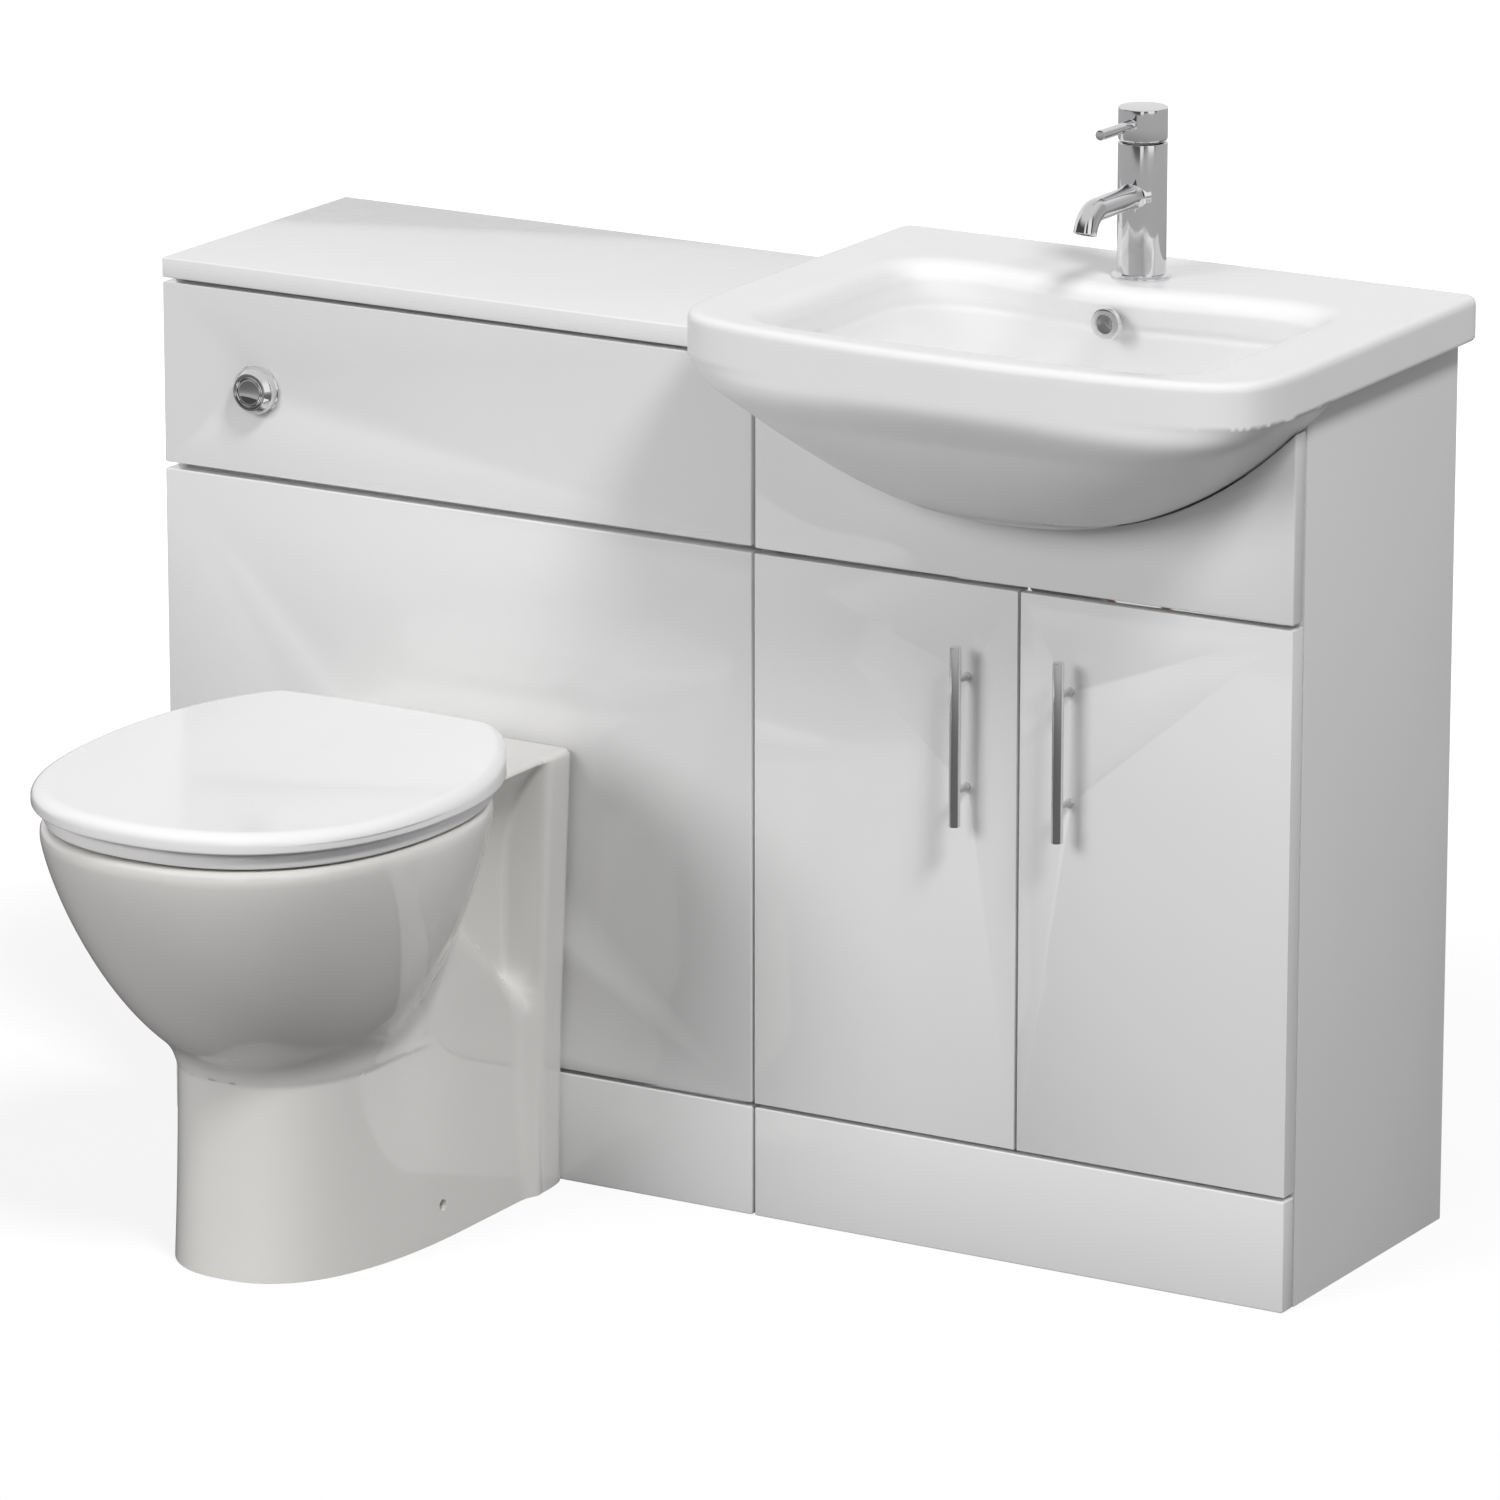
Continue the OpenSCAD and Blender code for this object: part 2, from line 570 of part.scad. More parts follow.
module lid() color("white") place() translate([pan_x, 0, 0]) difference() {
    top = pan_h + lid_rise;
    fall = lid_fall/(lid_out - lid_back);
    lug_x = seat_cc/2 + post_half + 6;
    apron_x = seat_cc/2 - post_half - 12.5;
    union() {
        difference() {
            skin([oval(lid_z0, 2, -lid_back, 0), oval(lid_z0 + 2, 0, -lid_back, 0),
                oval(top - 11, 0, -lid_back, fall), oval(top - 6, 1.5, -lid_back - 1, fall),
                oval(top - 2, 5, -lid_back - 4, fall), oval(top, 11, -lid_back - 9, fall)]);
            skin([oval(lid_z0 - 1, 7, -lid_back - lid_wall, 0), oval(top - 12, 7, -lid_back - lid_wall, fall),
                oval(top - 5, 14, -lid_back - 10, fall)]);
        }
        for (s = [-1, 1]) {
            lug(s*lug_x - 5.5, s*lug_x + 5.5);
            block([s*lug_x - 5.5, s*lug_x + 5.5], [hinge_y - 7, hinge_y + 7], [hinge_z, top - 8]);
        }
        block([-apron_x, apron_x], [hinge_y + 7.6, hinge_y + 11], [hinge_z - 6, lid_z0 + 4]);
        for (s = [-1, 1]) {
            block([s*lug_x - 5.5, s*lug_x + 5.5], [hinge_y + 3, hinge_y + 11], [hinge_z - 3, lid_z0 + 4]);
            translate([s*boss_x, boss_y, 0]) rod_z(boss_z, top - 6, 6);
        }
    }
    pin_hole();
}
module lid_buffers() color("whitesmoke") place() for (s = [-1, 1])
    translate([pan_x + s*boss_x, boss_y, 0]) rod_z(seat_top, boss_z, 8);

// hinge posts stand on the shelf; each holds a pin that carries the seat's and the lid's lugs
module seat_hinge_posts() color("silver") place() for (s = [-1, 1]) translate([pan_x + s*seat_cc/2, 0, 0]) {
    translate([0, post_y, 0]) rod_z(pan_h, pan_h + post_foot_t, post_foot_r);
    block([-post_half + 1, post_half - 1], [post_y - 7, post_y + 1.5], [pan_h + post_foot_t - weld, hinge_z]);
    translate([0, hinge_y, hinge_z]) rod_x(-post_half, post_half, lug_r);
    translate([0, hinge_y, hinge_z]) rod_x(-post_half - 12, post_half + 12, pin_r);
}
module seat_fixings() color("dimgray") place() for (s = [-1, 1])
    translate([pan_x + s*seat_cc/2, post_y, 0]) rod_z(pan_h - fixing_l, pan_h, fixing_r - run);

// ---- vanity unit ----
module vanity_side_left() color("white") place()
    block([wc_w, wc_w + board], [carcass_y, unit_d], [0, vanity_h]);
module vanity_side_right() color("gainsboro") place()
    block([all_w - board, all_w], [carcass_y, unit_d], [0, vanity_h]);
inside_x0 = wc_w + board;
inside_x1 = all_w - board;
module vanity_base() color("white") place()
    block([inside_x0, inside_x1], [carcass_y, unit_d], [plinth_h, plinth_h + board]);
fascia_z0 = door_top + fascia_gap;
module vanity_front_rail() color("white") place()
    block([inside_x0, inside_x1], [board, 2*board], [fascia_z0 - 2, fascia_z0 + 46]);
module vanity_rear_rail() color("white") place()
    block([inside_x0, inside_x1], [unit_d - board, unit_d], [rear_rail_z, rear_rail_z + 90]);

// underside of the belly in the plane of the fronts
belly_n = 2.4;
belly_w = basin_w/2;
belly_full = belly_h + 2;
function belly_s(drop) = pow(1 - drop/belly_full, 1/belly_n);
function belly_drop(x) = belly_full*(1 - pow(min(1, abs(x)/belly_w), belly_n));
fascia_clear = 2;
module vanity_fascia() color("white") place() {
    half = vanity_front_x1 - meet_x;
    steps = 32;
    edge = [for (i = [0:steps]) let (x = half*(1 - 2*i/steps))
        [meet_x + x, vanity_h - belly_drop(x + meet_x - vanity_x) - fascia_clear]];
    translate([0, board, 0]) rotate([90, 0, 0]) linear_extrude(board)
        polygon(concat([[vanity_front_x0, fascia_z0], [vanity_front_x1, fascia_z0]], edge));
}
module vanity_plinth() color("white") place()
    block([vanity_front_x0, vanity_front_x1], [0, board], [0, plinth_h]);

// plastic corner blocks that hold the fixed fronts to the sides
block_w = 18;
block_h = 34;
module fixing_blocks() color("whitesmoke") place() {
    for (x = [board, wc_w - board - block_w], z = [plinth_h/2, door_z0 + 40, door_top - 110, button_z])
        block([x, x + block_w], [board, board + 20], [z - block_h/2, z + block_h/2]);
    for (x = [inside_x0, inside_x1 - block_w])
        block([x, x + block_w], [board, board + 20], [(plinth_h - block_h)/2, (plinth_h + block_h)/2]);
}
// steel angles that hold the units to the wall
bracket_z = 600;
bracket_hole_in = 18;
module wall_brackets() color("silver") place()
    for (u = [[board, 0], [wc_w - board, 1], [inside_x0, 0], [inside_x1, 1]])
        translate([u[0], 0, bracket_z]) mirror([u[1], 0, 0]) difference() {
            union() {
                block([0, 2], [unit_d - 30, unit_d], [0, 30]);
                block([0, 30], [unit_d - 2, unit_d], [0, 30]);
            }
            translate([bracket_hole_in, 0, 15]) rod_y(unit_d - 3, unit_d + 1, 2.75);
            translate([0, unit_d - 17, 15]) rod_x(-1, 3, 2);
        }

// ---- doors, handles and concealed hinges ----
hinge_zs = [door_z0 + hinge_in, door_top - hinge_in];
cup_in = 5 + cup_d/2;
cup_floor = board - cup_depth;
// a door's own frame: its outer front corner at the origin, X towards the other door
module at_door(right) translate([right ? vanity_front_x1 : vanity_front_x0, 0, 0])
    mirror([right ? 1 : 0, 0, 0]) children();
handle_x = door_w + front_gap/2 - handle_in;
module door_board() difference() {
    block([0, door_w], [0, board], [door_z0, door_top]);
    for (z = hinge_zs) translate([cup_in, 0, z]) rod_y(cup_floor, board + 1, cup_d/2);
    for (s = [-1, 1]) translate([handle_x, 0, handle_z + s*handle_cc/2]) rod_y(-1, board + 1, 2.5);
}
module door_left() color("white") place() at_door(false) door_board();
module door_right() color("white") place() at_door(true) door_board();
module handle() translate([handle_x, 0, 0]) {
    translate([0, -handle_out, 0]) rod_z(handle_z - handle_len/2, handle_z + handle_len/2, handle_d/2);
    for (s = [-1, 1]) translate([0, 0, handle_z + s*handle_cc/2]) difference() {
        rod_y(-handle_out, 0, 3.5);
        rod_y(-12, 1, 2);
    }
}
module handle_left() color("silver") place() at_door(false) handle();
module handle_right() color("silver") place() at_door(true) handle();

// hinge parts: the cup turns with the door, the arm stays on the side, and a short link joins them
cup_wall = 1;
arm_x = 35;
arm_y = 8;
knuckle_r = 1.5;
module hinge_cup() difference() {
    union() {
        translate([cup_in, 0, 0]) rod_y(cup_floor, board + 0.5, cup_d/2 - run);
        block([cup_in - 13, cup_in + 13], [board, board + 1], [-26, 26]);
    }
    translate([cup_in, 0, 0]) rod_y(cup_floor + 0.8, board + 2, cup_d/2 - cup_wall);
}
module hinge_arm(side_in) difference() {
    union() {
        block([arm_x - 2, arm_x + 2.3], [cup_floor + 1.8, 27], [-6.5, 6.5]);
        block([side_in + 5, arm_x + 2.3], [24, 30], [-6.5, 6.5]);
        block([side_in + 5, arm_x - 3], [26, 86], [-8, 8]);
        block([side_in, side_in + 6], [46, 78], [-24, 24]);
    }
    block([0, arm_x + 5], [0, 16], [-2.4, 2.4]);
    for (s = [-1, 1]) translate([0, 62, s*16]) rod_x(side_in - 1, side_in + 7, 2.5);
}
module hinge_pin() translate([arm_x, arm_y, 0]) rod_z(-6, 6, knuckle_r);
module link_bar(p, q) translate([p[0], p[1], -2]) rotate(atan2(q[1] - p[1], q[0] - p[0]))
    translate([0, -1.2, 0]) cube([norm(q - p), 2.4, 4]);
link_knee = [18, 7.8];
link_end = [13.5, 13.5];
module hinge_link() difference() {
    union() {
        link_bar([arm_x, arm_y], link_knee);
        link_bar(link_knee, link_end);
        translate([arm_x, arm_y, 0]) rod_z(-2, 2, knuckle_r + 0.9);
        translate([link_knee[0], link_knee[1], 0]) rod_z(-2, 2, 1.35);
        translate([link_end[0], link_end[1], 0]) rod_z(-2, 2, 1.35);
    }
    translate([arm_x, arm_y, 0]) rod_z(-3, 3, knuckle_r + run);
}
module at_hinges(right) at_door(right) for (z = hinge_zs) translate([0, 0, z]) children();
module hinge_cups_left() color("silver") place() at_hinges(false) hinge_cup();
module hinge_cups_right() color("silver") place() at_hinges(true) hinge_cup();
module hinge_links_left() color("silver") place() at_hinges(false) hinge_link();
module hinge_links_right() color("silver") place() at_hinges(true) hinge_link();
module hinge_arms() color("silver") place() for (right = [false, true]) at_hinges(right) {
    hinge_arm(board - (right ? end_reveal : front_gap/2));
    hinge_pin();
}

// ---- basin ----
rim_yc = (unit_d - basin_out)/2 + basin_bow/2;
// rim outline: square to the wall behind, rounded and bowed in front
function rim_ring(z, grow) = let (a = basin_w/2 + grow, f = rim_yc + basin_out - basin_bow + grow,
        b = unit_d - rim_yc) [for (p = ring(z, rim_yc, a, f, b, 9, 40))
    [p[0], p[1] - (p[1] < rim_yc ? basin_bow*(1 - pow(p[0]/a, 2))*(rim_yc - p[1])/f : 0), z]];
// belly outline at a depth below the rim
function belly_ring(drop) = let (s = belly_s(drop), w = smooth(drop/45),
        n = 2.3 + 3.2*pow(1 - drop/belly_full, 2),
        low = ring(vanity_h - drop, 0, belly_w*s, basin_out*s, 60, n, 12),
        high = rim_ring(vanity_h - drop, 0))
    [for (i = [0:seg - 1]) [low[i][0]*w + high[i][0]*(1 - w)*s,
        low[i][1]*w + high[i][1]*(1 - w), vanity_h - drop]];
// bowl outline: squarish at the top, round at the waste, drawn in under the tap
bowl_top = rim_top - 4;
bowl_mid = 40;
function bowl_outline(z, grow) = let (u = min(1, max(0, (bowl_top - z)/bowl_h)),
        s = 0.25 + 0.75*pow(1 - pow(u, 2.6), 1/2.6), yc = bowl_mid + (waste_y - bowl_mid)*pow(u, 1.5),
        n = 2.6 + 5.4*pow(1 - u, 1.5), a = bowl_w/2*s + grow, b = bowl_l/2*s + grow)
    [for (p = ring(z, yc, a, b, b, n, n))
        [p[0], p[1] - (p[1] > yc ? 24*exp(-pow(p[0]/100, 2))*(p[1] - yc)/b*(1 - u) : 0), z]];
bowl_floor = bowl_top - bowl_h;
shell_t = 13;
overflow_z = rim_top - 29;
overflow_r = 9;
duct_y = tap_y - 44;
duct_w = 10;
duct_r = 4;
duct_deep = 6.5;
// behind the fronts the belly stays inside the vanity unit, clear of the worktop beside it
belly_left = wc_w + clear - vanity_x;
module basin() color("white") place() translate([vanity_x, 0, 0]) difference() {
    union() {
        skin([rim_ring(vanity_h, -1.5), rim_ring(vanity_h + 2, 0), rim_ring(rim_top - 6, 0),
            rim_ring(rim_top - 2, -1.5), rim_ring(rim_top, -5)]);
        intersection() {
            skin([for (d = [1, 0.975, 0.93, 0.86, 0.77, 0.65, 0.52, 0.38, 0.24, 0.12, 0.04]) belly_ring(d*belly_h),
                rim_ring(vanity_h, 0), rim_ring(vanity_h + 8, 0)]);
            union() {
                block([-belly_w, belly_w], [-basin_out - 1, -clear], [0, vanity_h + 8]);
                block([belly_left, belly_w], [-basin_out - 1, carcass_y], [0, vanity_h + 8]);
            }
        }
        intersection() {
            skin([for (u = [1, 0.98, 0.93, 0.85, 0.7, 0.5, 0.3, 0.12])
                let (z = bowl_floor - shell_t + (vanity_h + 2 - bowl_floor + shell_t)*(1 - u))
                [for (p = bowl_outline(max(bowl_floor, z + shell_t), shell_t)) [p[0], p[1], z]],
                [for (p = bowl_outline(vanity_h + shell_t, shell_t)) [p[0], p[1], vanity_h + 4]]]);
            block([-belly_w, belly_w], [carcass_y - 2*weld, unit_d], [0, vanity_h + 8]);
        }
        block([-duct_w, duct_w], [waste_y, duct_y + duct_w], [bowl_floor - shell_t, bowl_floor + 20]);
        block([-duct_w, duct_w], [duct_y - duct_w, duct_y + duct_w], [bowl_floor - shell_t, vanity_h + 2]);
    }
    skin([for (u = [1, 0.985, 0.95, 0.88, 0.76, 0.6, 0.4, 0.2, 0.05])
            bowl_outline(bowl_top - bowl_h*u, 0), bowl_outline(bowl_top + 2, 1), bowl_outline(rim_top, 3.5),
            bowl_outline(rim_top + 1, 5)]);
    block([-60, 60], [tap_y - 29, unit_d - 12], [vanity_h - 1, rim_top - 14]);
    block([-150, 150], [tap_y - 4, unit_d - 12], [vanity_h - 1, rim_top - 14]);
    translate([0, tap_y, 0]) rod_z(vanity_h, rim_top + 1, tap_hole_d/2);
    translate([0, waste_y, 0]) rod_z(bowl_floor - 40, bowl_floor + 10, waste_d/2);
    translate([0, 0, overflow_z]) rod_y(120, duct_y, overflow_r);
    translate([0, duct_y, 0]) rod_z(bowl_floor - duct_deep, overflow_z, duct_r);
    translate([0, 0, bowl_floor - duct_deep]) rod_y(waste_y, duct_y, duct_r);
}
ring_y = bowl_mid + bowl_l/2 - 31;
module overflow_ring() color("silver") place() translate([vanity_x, 0, overflow_z]) difference() {
    union() {
        rod_y(ring_y - 2, ring_y + 3, 14);
        rod_y(ring_y, duct_y - duct_r - 1, overflow_r - run);
    }
    rod_y(ring_y - 3, duct_y, overflow_r - 1.2);
}

// ---- waste and trap ----
waste_top = bowl_floor + 3;
tail_r = 20.95;
tail_z = bowl_floor - 62;
nut_z = bowl_floor - shell_t - 15;
module basin_waste() color("silver") place() translate([vanity_x, waste_y, 0]) difference() {
    union() {
        rod_z(bowl_floor, waste_top, 32);
        rod_z(tail_z, bowl_floor + 1, tail_r);
    }
    rod_z(tail_z - 1, waste_top - 14, 16);
    rod_z(waste_top - 15, waste_top + 1, 6 + run);
    for (a = [0:60:300]) rotate(a) translate([11.4, 0, 0]) rod_z(waste_top - 15, waste_top + 1, 3.6);
}
plug_lift = 8;
module waste_plug() color("silver") place() translate([vanity_x, waste_y, 0]) {
    rod_z(waste_top + plug_lift + 0.3, waste_top + plug_lift + 6, 31);
    rod_z(waste_top - 12 + plug_lift, waste_top + plug_lift + 1, 6);
}
module waste_nut() color("dimgray") place() translate([vanity_x, waste_y, 0]) difference() {
    union() {
        rod_z(nut_z, nut_z + 9, 30);
        rod_z(nut_z + 8, bowl_floor - shell_t, 27);
    }
    rod_z(nut_z - 1, bowl_floor, tail_r + run);
}
trap_top = tail_z + 16;
trap_body_r = 32;
trap_out_z = trap_top - 62;
trap_out_y = waste_y + 95;
trap_pipe_r = 17.5;
module bottle_trap() color("white") place() translate([vanity_x, 0, 0]) difference() {
    union() {
        translate([0, waste_y, 0]) {
            rod_z(trap_top - 24, trap_top, 28);
            rod_z(trap_top - 150, trap_top - 22, trap_body_r);
            rod_z(trap_top - 168, trap_top - 149, trap_body_r + 4);
        }
        translate([0, 0, trap_out_z]) rod_y(waste_y + 20, trap_out_y - 20, 20);
        translate([0, 0, trap_out_z]) rod_y(trap_out_y - 24, trap_out_y, 25);
    }
    translate([0, waste_y, 0]) rod_z(tail_z, trap_top + 1, tail_r + run);
    translate([0, waste_y, 0]) rod_z(trap_top - 40, trap_top + 1, 16);
    translate([0, waste_y, 0]) rod_z(trap_top - 160, trap_top - 34, trap_body_r - 3);
    translate([0, 0, trap_out_z]) rod_y(waste_y + 10, trap_out_y + 1, 15);
    translate([0, 0, trap_out_z]) rod_y(trap_out_y - 22, trap_out_y + 1, trap_pipe_r);
}

// ---- tap ----
tap_r = tap_d/2;
body_top = rim_top + tap_h - cap_h - 2.2;
flange_r = tap_r + 4.5;
bend_r = 20;
bend_a = 70;
spout_end = 5;
cartridge_r = 15;
module spout_shape(r, extra) translate([0, 0, rim_top + spout_z]) {
    rod_y(-spout_reach, 0, r);
    translate([0, -spout_reach, -bend_r]) {
        multmatrix([[0, 0, 1, 0], [0, -1, 0, 0], [1, 0, 0, 0]])
            rotate_extrude(angle = bend_a, $fn = 64) translate([bend_r, 0]) circle(r = r, $fn = 48);
        translate([0, -bend_r*sin(bend_a), bend_r*cos(bend_a)]) rotate([180 - bend_a + 90, 0, 0])
            translate([0, 0, -0.1]) cylinder(r = r, h = spout_end + 0.1 + extra, $fn = 64);
    }
}
module tap_body() color("silver") place() translate([vanity_x, tap_y, 0]) difference() {
    union() {
        rod_z(rim_top, rim_top + 3, flange_r);
        rod_z(rim_top + 2, body_top, tap_r);
        spout_shape(spout_d/2, 0);
    }
    rod_z(body_top - 20, body_top + 1, cartridge_r + run);
    translate([0, -spout_reach - bend_r*sin(bend_a), rim_top + spout_z - bend_r + bend_r*cos(bend_a)])
        rotate([180 - bend_a + 90, 0, 0]) translate([0, 0, spout_end - 5]) cylinder(r = 8, h = 6, $fn = 64);
    translate([0, stud_y, 0]) rod_z(rim_top - 1, rim_top + 14, stud_r + run);
    for (s = [-1, 1]) translate([s*tail_x, tail_y, 0]) rod_z(rim_top - 1, rim_top + 10, tail_pipe_r + run);
}
module tap_aerator() color("dimgray") place() translate([vanity_x, tap_y, 0])
    translate([0, -spout_reach - bend_r*sin(bend_a), rim_top + spout_z - bend_r + bend_r*cos(bend_a)])
    rotate([180 - bend_a + 90, 0, 0]) translate([0, 0, spout_end - 5]) difference() {
        cylinder(r = 8 - run, h = 4.6, $fn = 64);
        for (a = [0:60:300]) rotate(a) translate([4.4, 0, 2]) cylinder(r = 1.4, h = 4, $fn = 16);
        translate([0, 0, 2]) cylinder(r = 1.4, h = 4, $fn = 16);
    }
// the cartridge turns in the body; the cap tilts on a cross pin in the cartridge's ears
tilt_y = 12;
tilt_z = body_top + 4.7;
module tap_cartridge() color("gainsboro") place() translate([vanity_x, tap_y, 0]) {
    rod_z(body_top - 19.5, body_top, cartridge_r);
    rod_z(body_top - 1, body_top + 0.8, 14.8);
    for (s = [-1, 1]) block([s*7 - 1.6, s*7 + 1.6], [tilt_y - 4, tilt_y + 2.6], [body_top, tilt_z + 3.4]);
    translate([0, tilt_y, tilt_z]) rod_x(-8.6, 8.6, 2);
}
module tap_lever() color("silver") place() translate([vanity_x, tap_y, 0]) {
    difference() {
        rod_z(body_top + 2.2, rim_top + tap_h, tap_r);
        rod_z(body_top, body_top + 13, tap_r - 3.2);
    }
    difference() {
        union() {
            translate([0, tilt_y, tilt_z]) rod_x(-4.6, 4.6, 3.2);
            block([-4.6, 4.6], [tilt_y - 3.2, tilt_y + 3.2], [tilt_z, body_top + 14]);
        }
        translate([0, tilt_y, tilt_z]) rod_x(-6, 6, 2 + run);
    }
    translate([0, 0, rim_top + tap_h - 13]) rotate([-1, 0, 0]) rod_y(-pin_len, -tap_r + 4, pin_d/2);
}
module tap_stud() color("goldenrod") place() translate([vanity_x, tap_y, 0]) {
    translate([0, stud_y, 0]) rod_z(rim_top - 74, rim_top + 13, stud_r);
    difference() {
        rod_z(rim_top - 17.5, rim_top - 14, 23);
        for (s = [-1, 1]) translate([s*tail_x, tail_y, 0]) rod_z(rim_top - 19, rim_top - 12, tail_pipe_r + 0.4);
    }
    translate([0, stud_y, 0]) rod_z(rim_top - 26, rim_top - 17, 7);
}
// rigid copper tails that spread apart to half-inch union nuts
tail_x = 9;
tail_y = 5;
stud_y = -6;
stud_r = 4;
tail_spread = 20;
tail_bend_h = 60;
tail_pipe_r = 5;
tail_l = 300;
tail_end = rim_top - tail_l;
nut_hex_r = 12.5;
thread_r = 9.3;
module tap_tails() color("peru") place() for (s = [-1, 1]) translate([vanity_x + s*tail_x, tap_y + tail_y, 0]) {
    bend_top = rim_top - 70;
    bend_low = bend_top - tail_bend_h;
    rod_z(bend_top, rim_top + 9, tail_pipe_r);
    translate([0, 0, bend_top]) sphere(r = tail_pipe_r + 0.4, $fn = 48);
    translate([0, 0, bend_top]) rotate([0, s*(180 - atan2(tail_spread, tail_bend_h)), 0])
        cylinder(r = tail_pipe_r, h = norm([tail_spread, tail_bend_h]), $fn = 48);
    translate([s*tail_spread, 0, 0]) {
        translate([0, 0, bend_low]) sphere(r = tail_pipe_r + 0.4, $fn = 48);
        rod_z(tail_end + 14, bend_low, tail_pipe_r);
        difference() {
            translate([0, 0, tail_end]) cylinder(r = nut_hex_r, h = 18, $fn = 6);
            rod_z(tail_end - 1, tail_end + 14, thread_r);
        }
    }
}

wc_side_left();
wc_side_right();
wc_front_rails();
wc_rear_rail();
wc_worktop();
wc_flush_panel();
wc_lower_panel();
wc_plinth();
cistern_tank();
cistern_lid();
fill_valve();
float_cup();
flush_valve();
flush_piston();
flush_pipe();
flush_pipe_seal();
flush_bezel();
flush_button();
flush_pump();
flush_air_tube();
pan();
pan_connector();
pan_brackets();
pan_screws();
seat();
seat_buffers();
lid();
lid_buffers();
seat_hinge_posts();
seat_fixings();
vanity_side_left();
vanity_side_right();
vanity_base();
vanity_front_rail();
vanity_rear_rail();
vanity_fascia();
vanity_plinth();
fixing_blocks();
wall_brackets();
door_left();
door_right();
handle_left();
handle_right();
hinge_cups_left();
hinge_cups_right();
hinge_links_left();
hinge_links_right();
hinge_arms();
basin();
overflow_ring();
basin_waste();
waste_plug();
waste_nut();
bottle_trap();
tap_body();
tap_aerator();
tap_cartridge();
tap_lever();
tap_stud();
tap_tails();
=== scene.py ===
"""Toilet and basin combination unit, dressed for its picture.

Boards with eased edges, a cast pan and basin, moulded seat and lid, turned and plated fittings, and a plain
studio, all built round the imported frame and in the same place.
"""

import math

import bmesh
import bpy
import numpy as np
from mathutils import Matrix, Vector


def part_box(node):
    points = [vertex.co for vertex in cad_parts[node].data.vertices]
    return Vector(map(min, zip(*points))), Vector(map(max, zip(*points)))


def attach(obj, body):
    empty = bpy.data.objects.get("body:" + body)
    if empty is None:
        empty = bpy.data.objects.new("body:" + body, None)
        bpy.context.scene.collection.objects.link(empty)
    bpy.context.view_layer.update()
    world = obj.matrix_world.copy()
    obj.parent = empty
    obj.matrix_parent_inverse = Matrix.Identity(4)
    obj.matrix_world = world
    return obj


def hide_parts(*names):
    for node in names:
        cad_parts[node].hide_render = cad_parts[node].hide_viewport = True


bl_info = {
    "name": "Toilet and basin combination unit",
    "version": (1, 0, 0),
    "blender": (4, 5, 0),
    "location": "View3D > Sidebar > Bathroom unit",
    "description": "Builds the visible pieces of a toilet and basin combination unit and its studio",
    "category": "Object",
}

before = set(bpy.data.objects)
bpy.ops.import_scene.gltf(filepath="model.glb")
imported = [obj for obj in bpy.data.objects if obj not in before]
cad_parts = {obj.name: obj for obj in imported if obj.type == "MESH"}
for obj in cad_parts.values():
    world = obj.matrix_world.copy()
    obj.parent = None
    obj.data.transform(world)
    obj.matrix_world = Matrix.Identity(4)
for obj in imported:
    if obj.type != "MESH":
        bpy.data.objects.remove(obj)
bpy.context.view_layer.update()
MM = 0.001


# ---- places taken from the frame, in metres ----
def low(node):
    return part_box(node)[0]


def high(node):
    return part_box(node)[1]


def middle(node):
    return (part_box(node)[0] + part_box(node)[1]) / 2


FRONT_Y = low("wc_lower_panel").y
PAN = Vector((middle("pan").x, FRONT_Y, 0))
BASIN = Vector((middle("basin").x, FRONT_Y, 0))
BUTTON = Vector((middle("flush_button").x, FRONT_Y, middle("flush_button").z))
TAP = Vector((middle("tap_cartridge").x, middle("tap_cartridge").y, high("basin").z))
WASTE = Vector((middle("waste_plug").x, middle("waste_plug").y, 0))
RIM_TOP = high("basin").z / MM


# ---- sizes and finishes a user may change ----
def size(name, description, default, low_end=0.0, high_end=1.0):
    return bpy.props.FloatProperty(name=name, description=description, default=default, min=low_end,
                                   max=high_end, subtype="DISTANCE", unit="LENGTH", precision=4)


def tint(name, description, default):
    return bpy.props.FloatVectorProperty(name=name, description=description, default=default, size=3,
                                         min=0.0, max=1.0, subtype="COLOR")


def amount(name, description, default, low_end=0.0, high_end=1.0):
    return bpy.props.FloatProperty(name=name, description=description, default=default, min=low_end,
                                   max=high_end)


class BoardSizes(bpy.types.PropertyGroup):
    front_edge: size("Front edge", "Rounding of the edges of doors and panels", 0.0013)
    carcass_edge: size("Carcass edge", "Rounding of the taped edges of the carcass boards", 0.0006)
    top_edge: size("Worktop edge", "Rounding of the worktop's edges", 0.0015)


class CeramicSizes(bpy.types.PropertyGroup):
    net: size("Mesh step", "Step of the mesh of the pan and the basin", 0.0045)
    rim_round: size("Rim rounding", "Rounding along the top edge of the basin", 0.007)
    pan_rim_round: size("Pan rim rounding", "Rounding along the top edge of the pan", 0.006)
    neck_fillet: size("Neck fillet", "Fillet where the pan's bowl meets its foot", 0.005)
    body_fillet: size("Body fillet", "Fillet between the foot and the column at the wall", 0.022)


class FittingSizes(bpy.types.PropertyGroup):
    plated_edge: size("Plated edge", "Rounding of the edges of chromed pieces", 0.0006)
    handle_edge: size("Handle edge", "Rounding at the ends of the handle bars", 0.0005)
    moulded_edge: size("Moulded edge", "Rounding of the edges of moulded parts", 0.0008)
    screw_head: size("Screw head", "Radius of the screw heads", 0.0035)


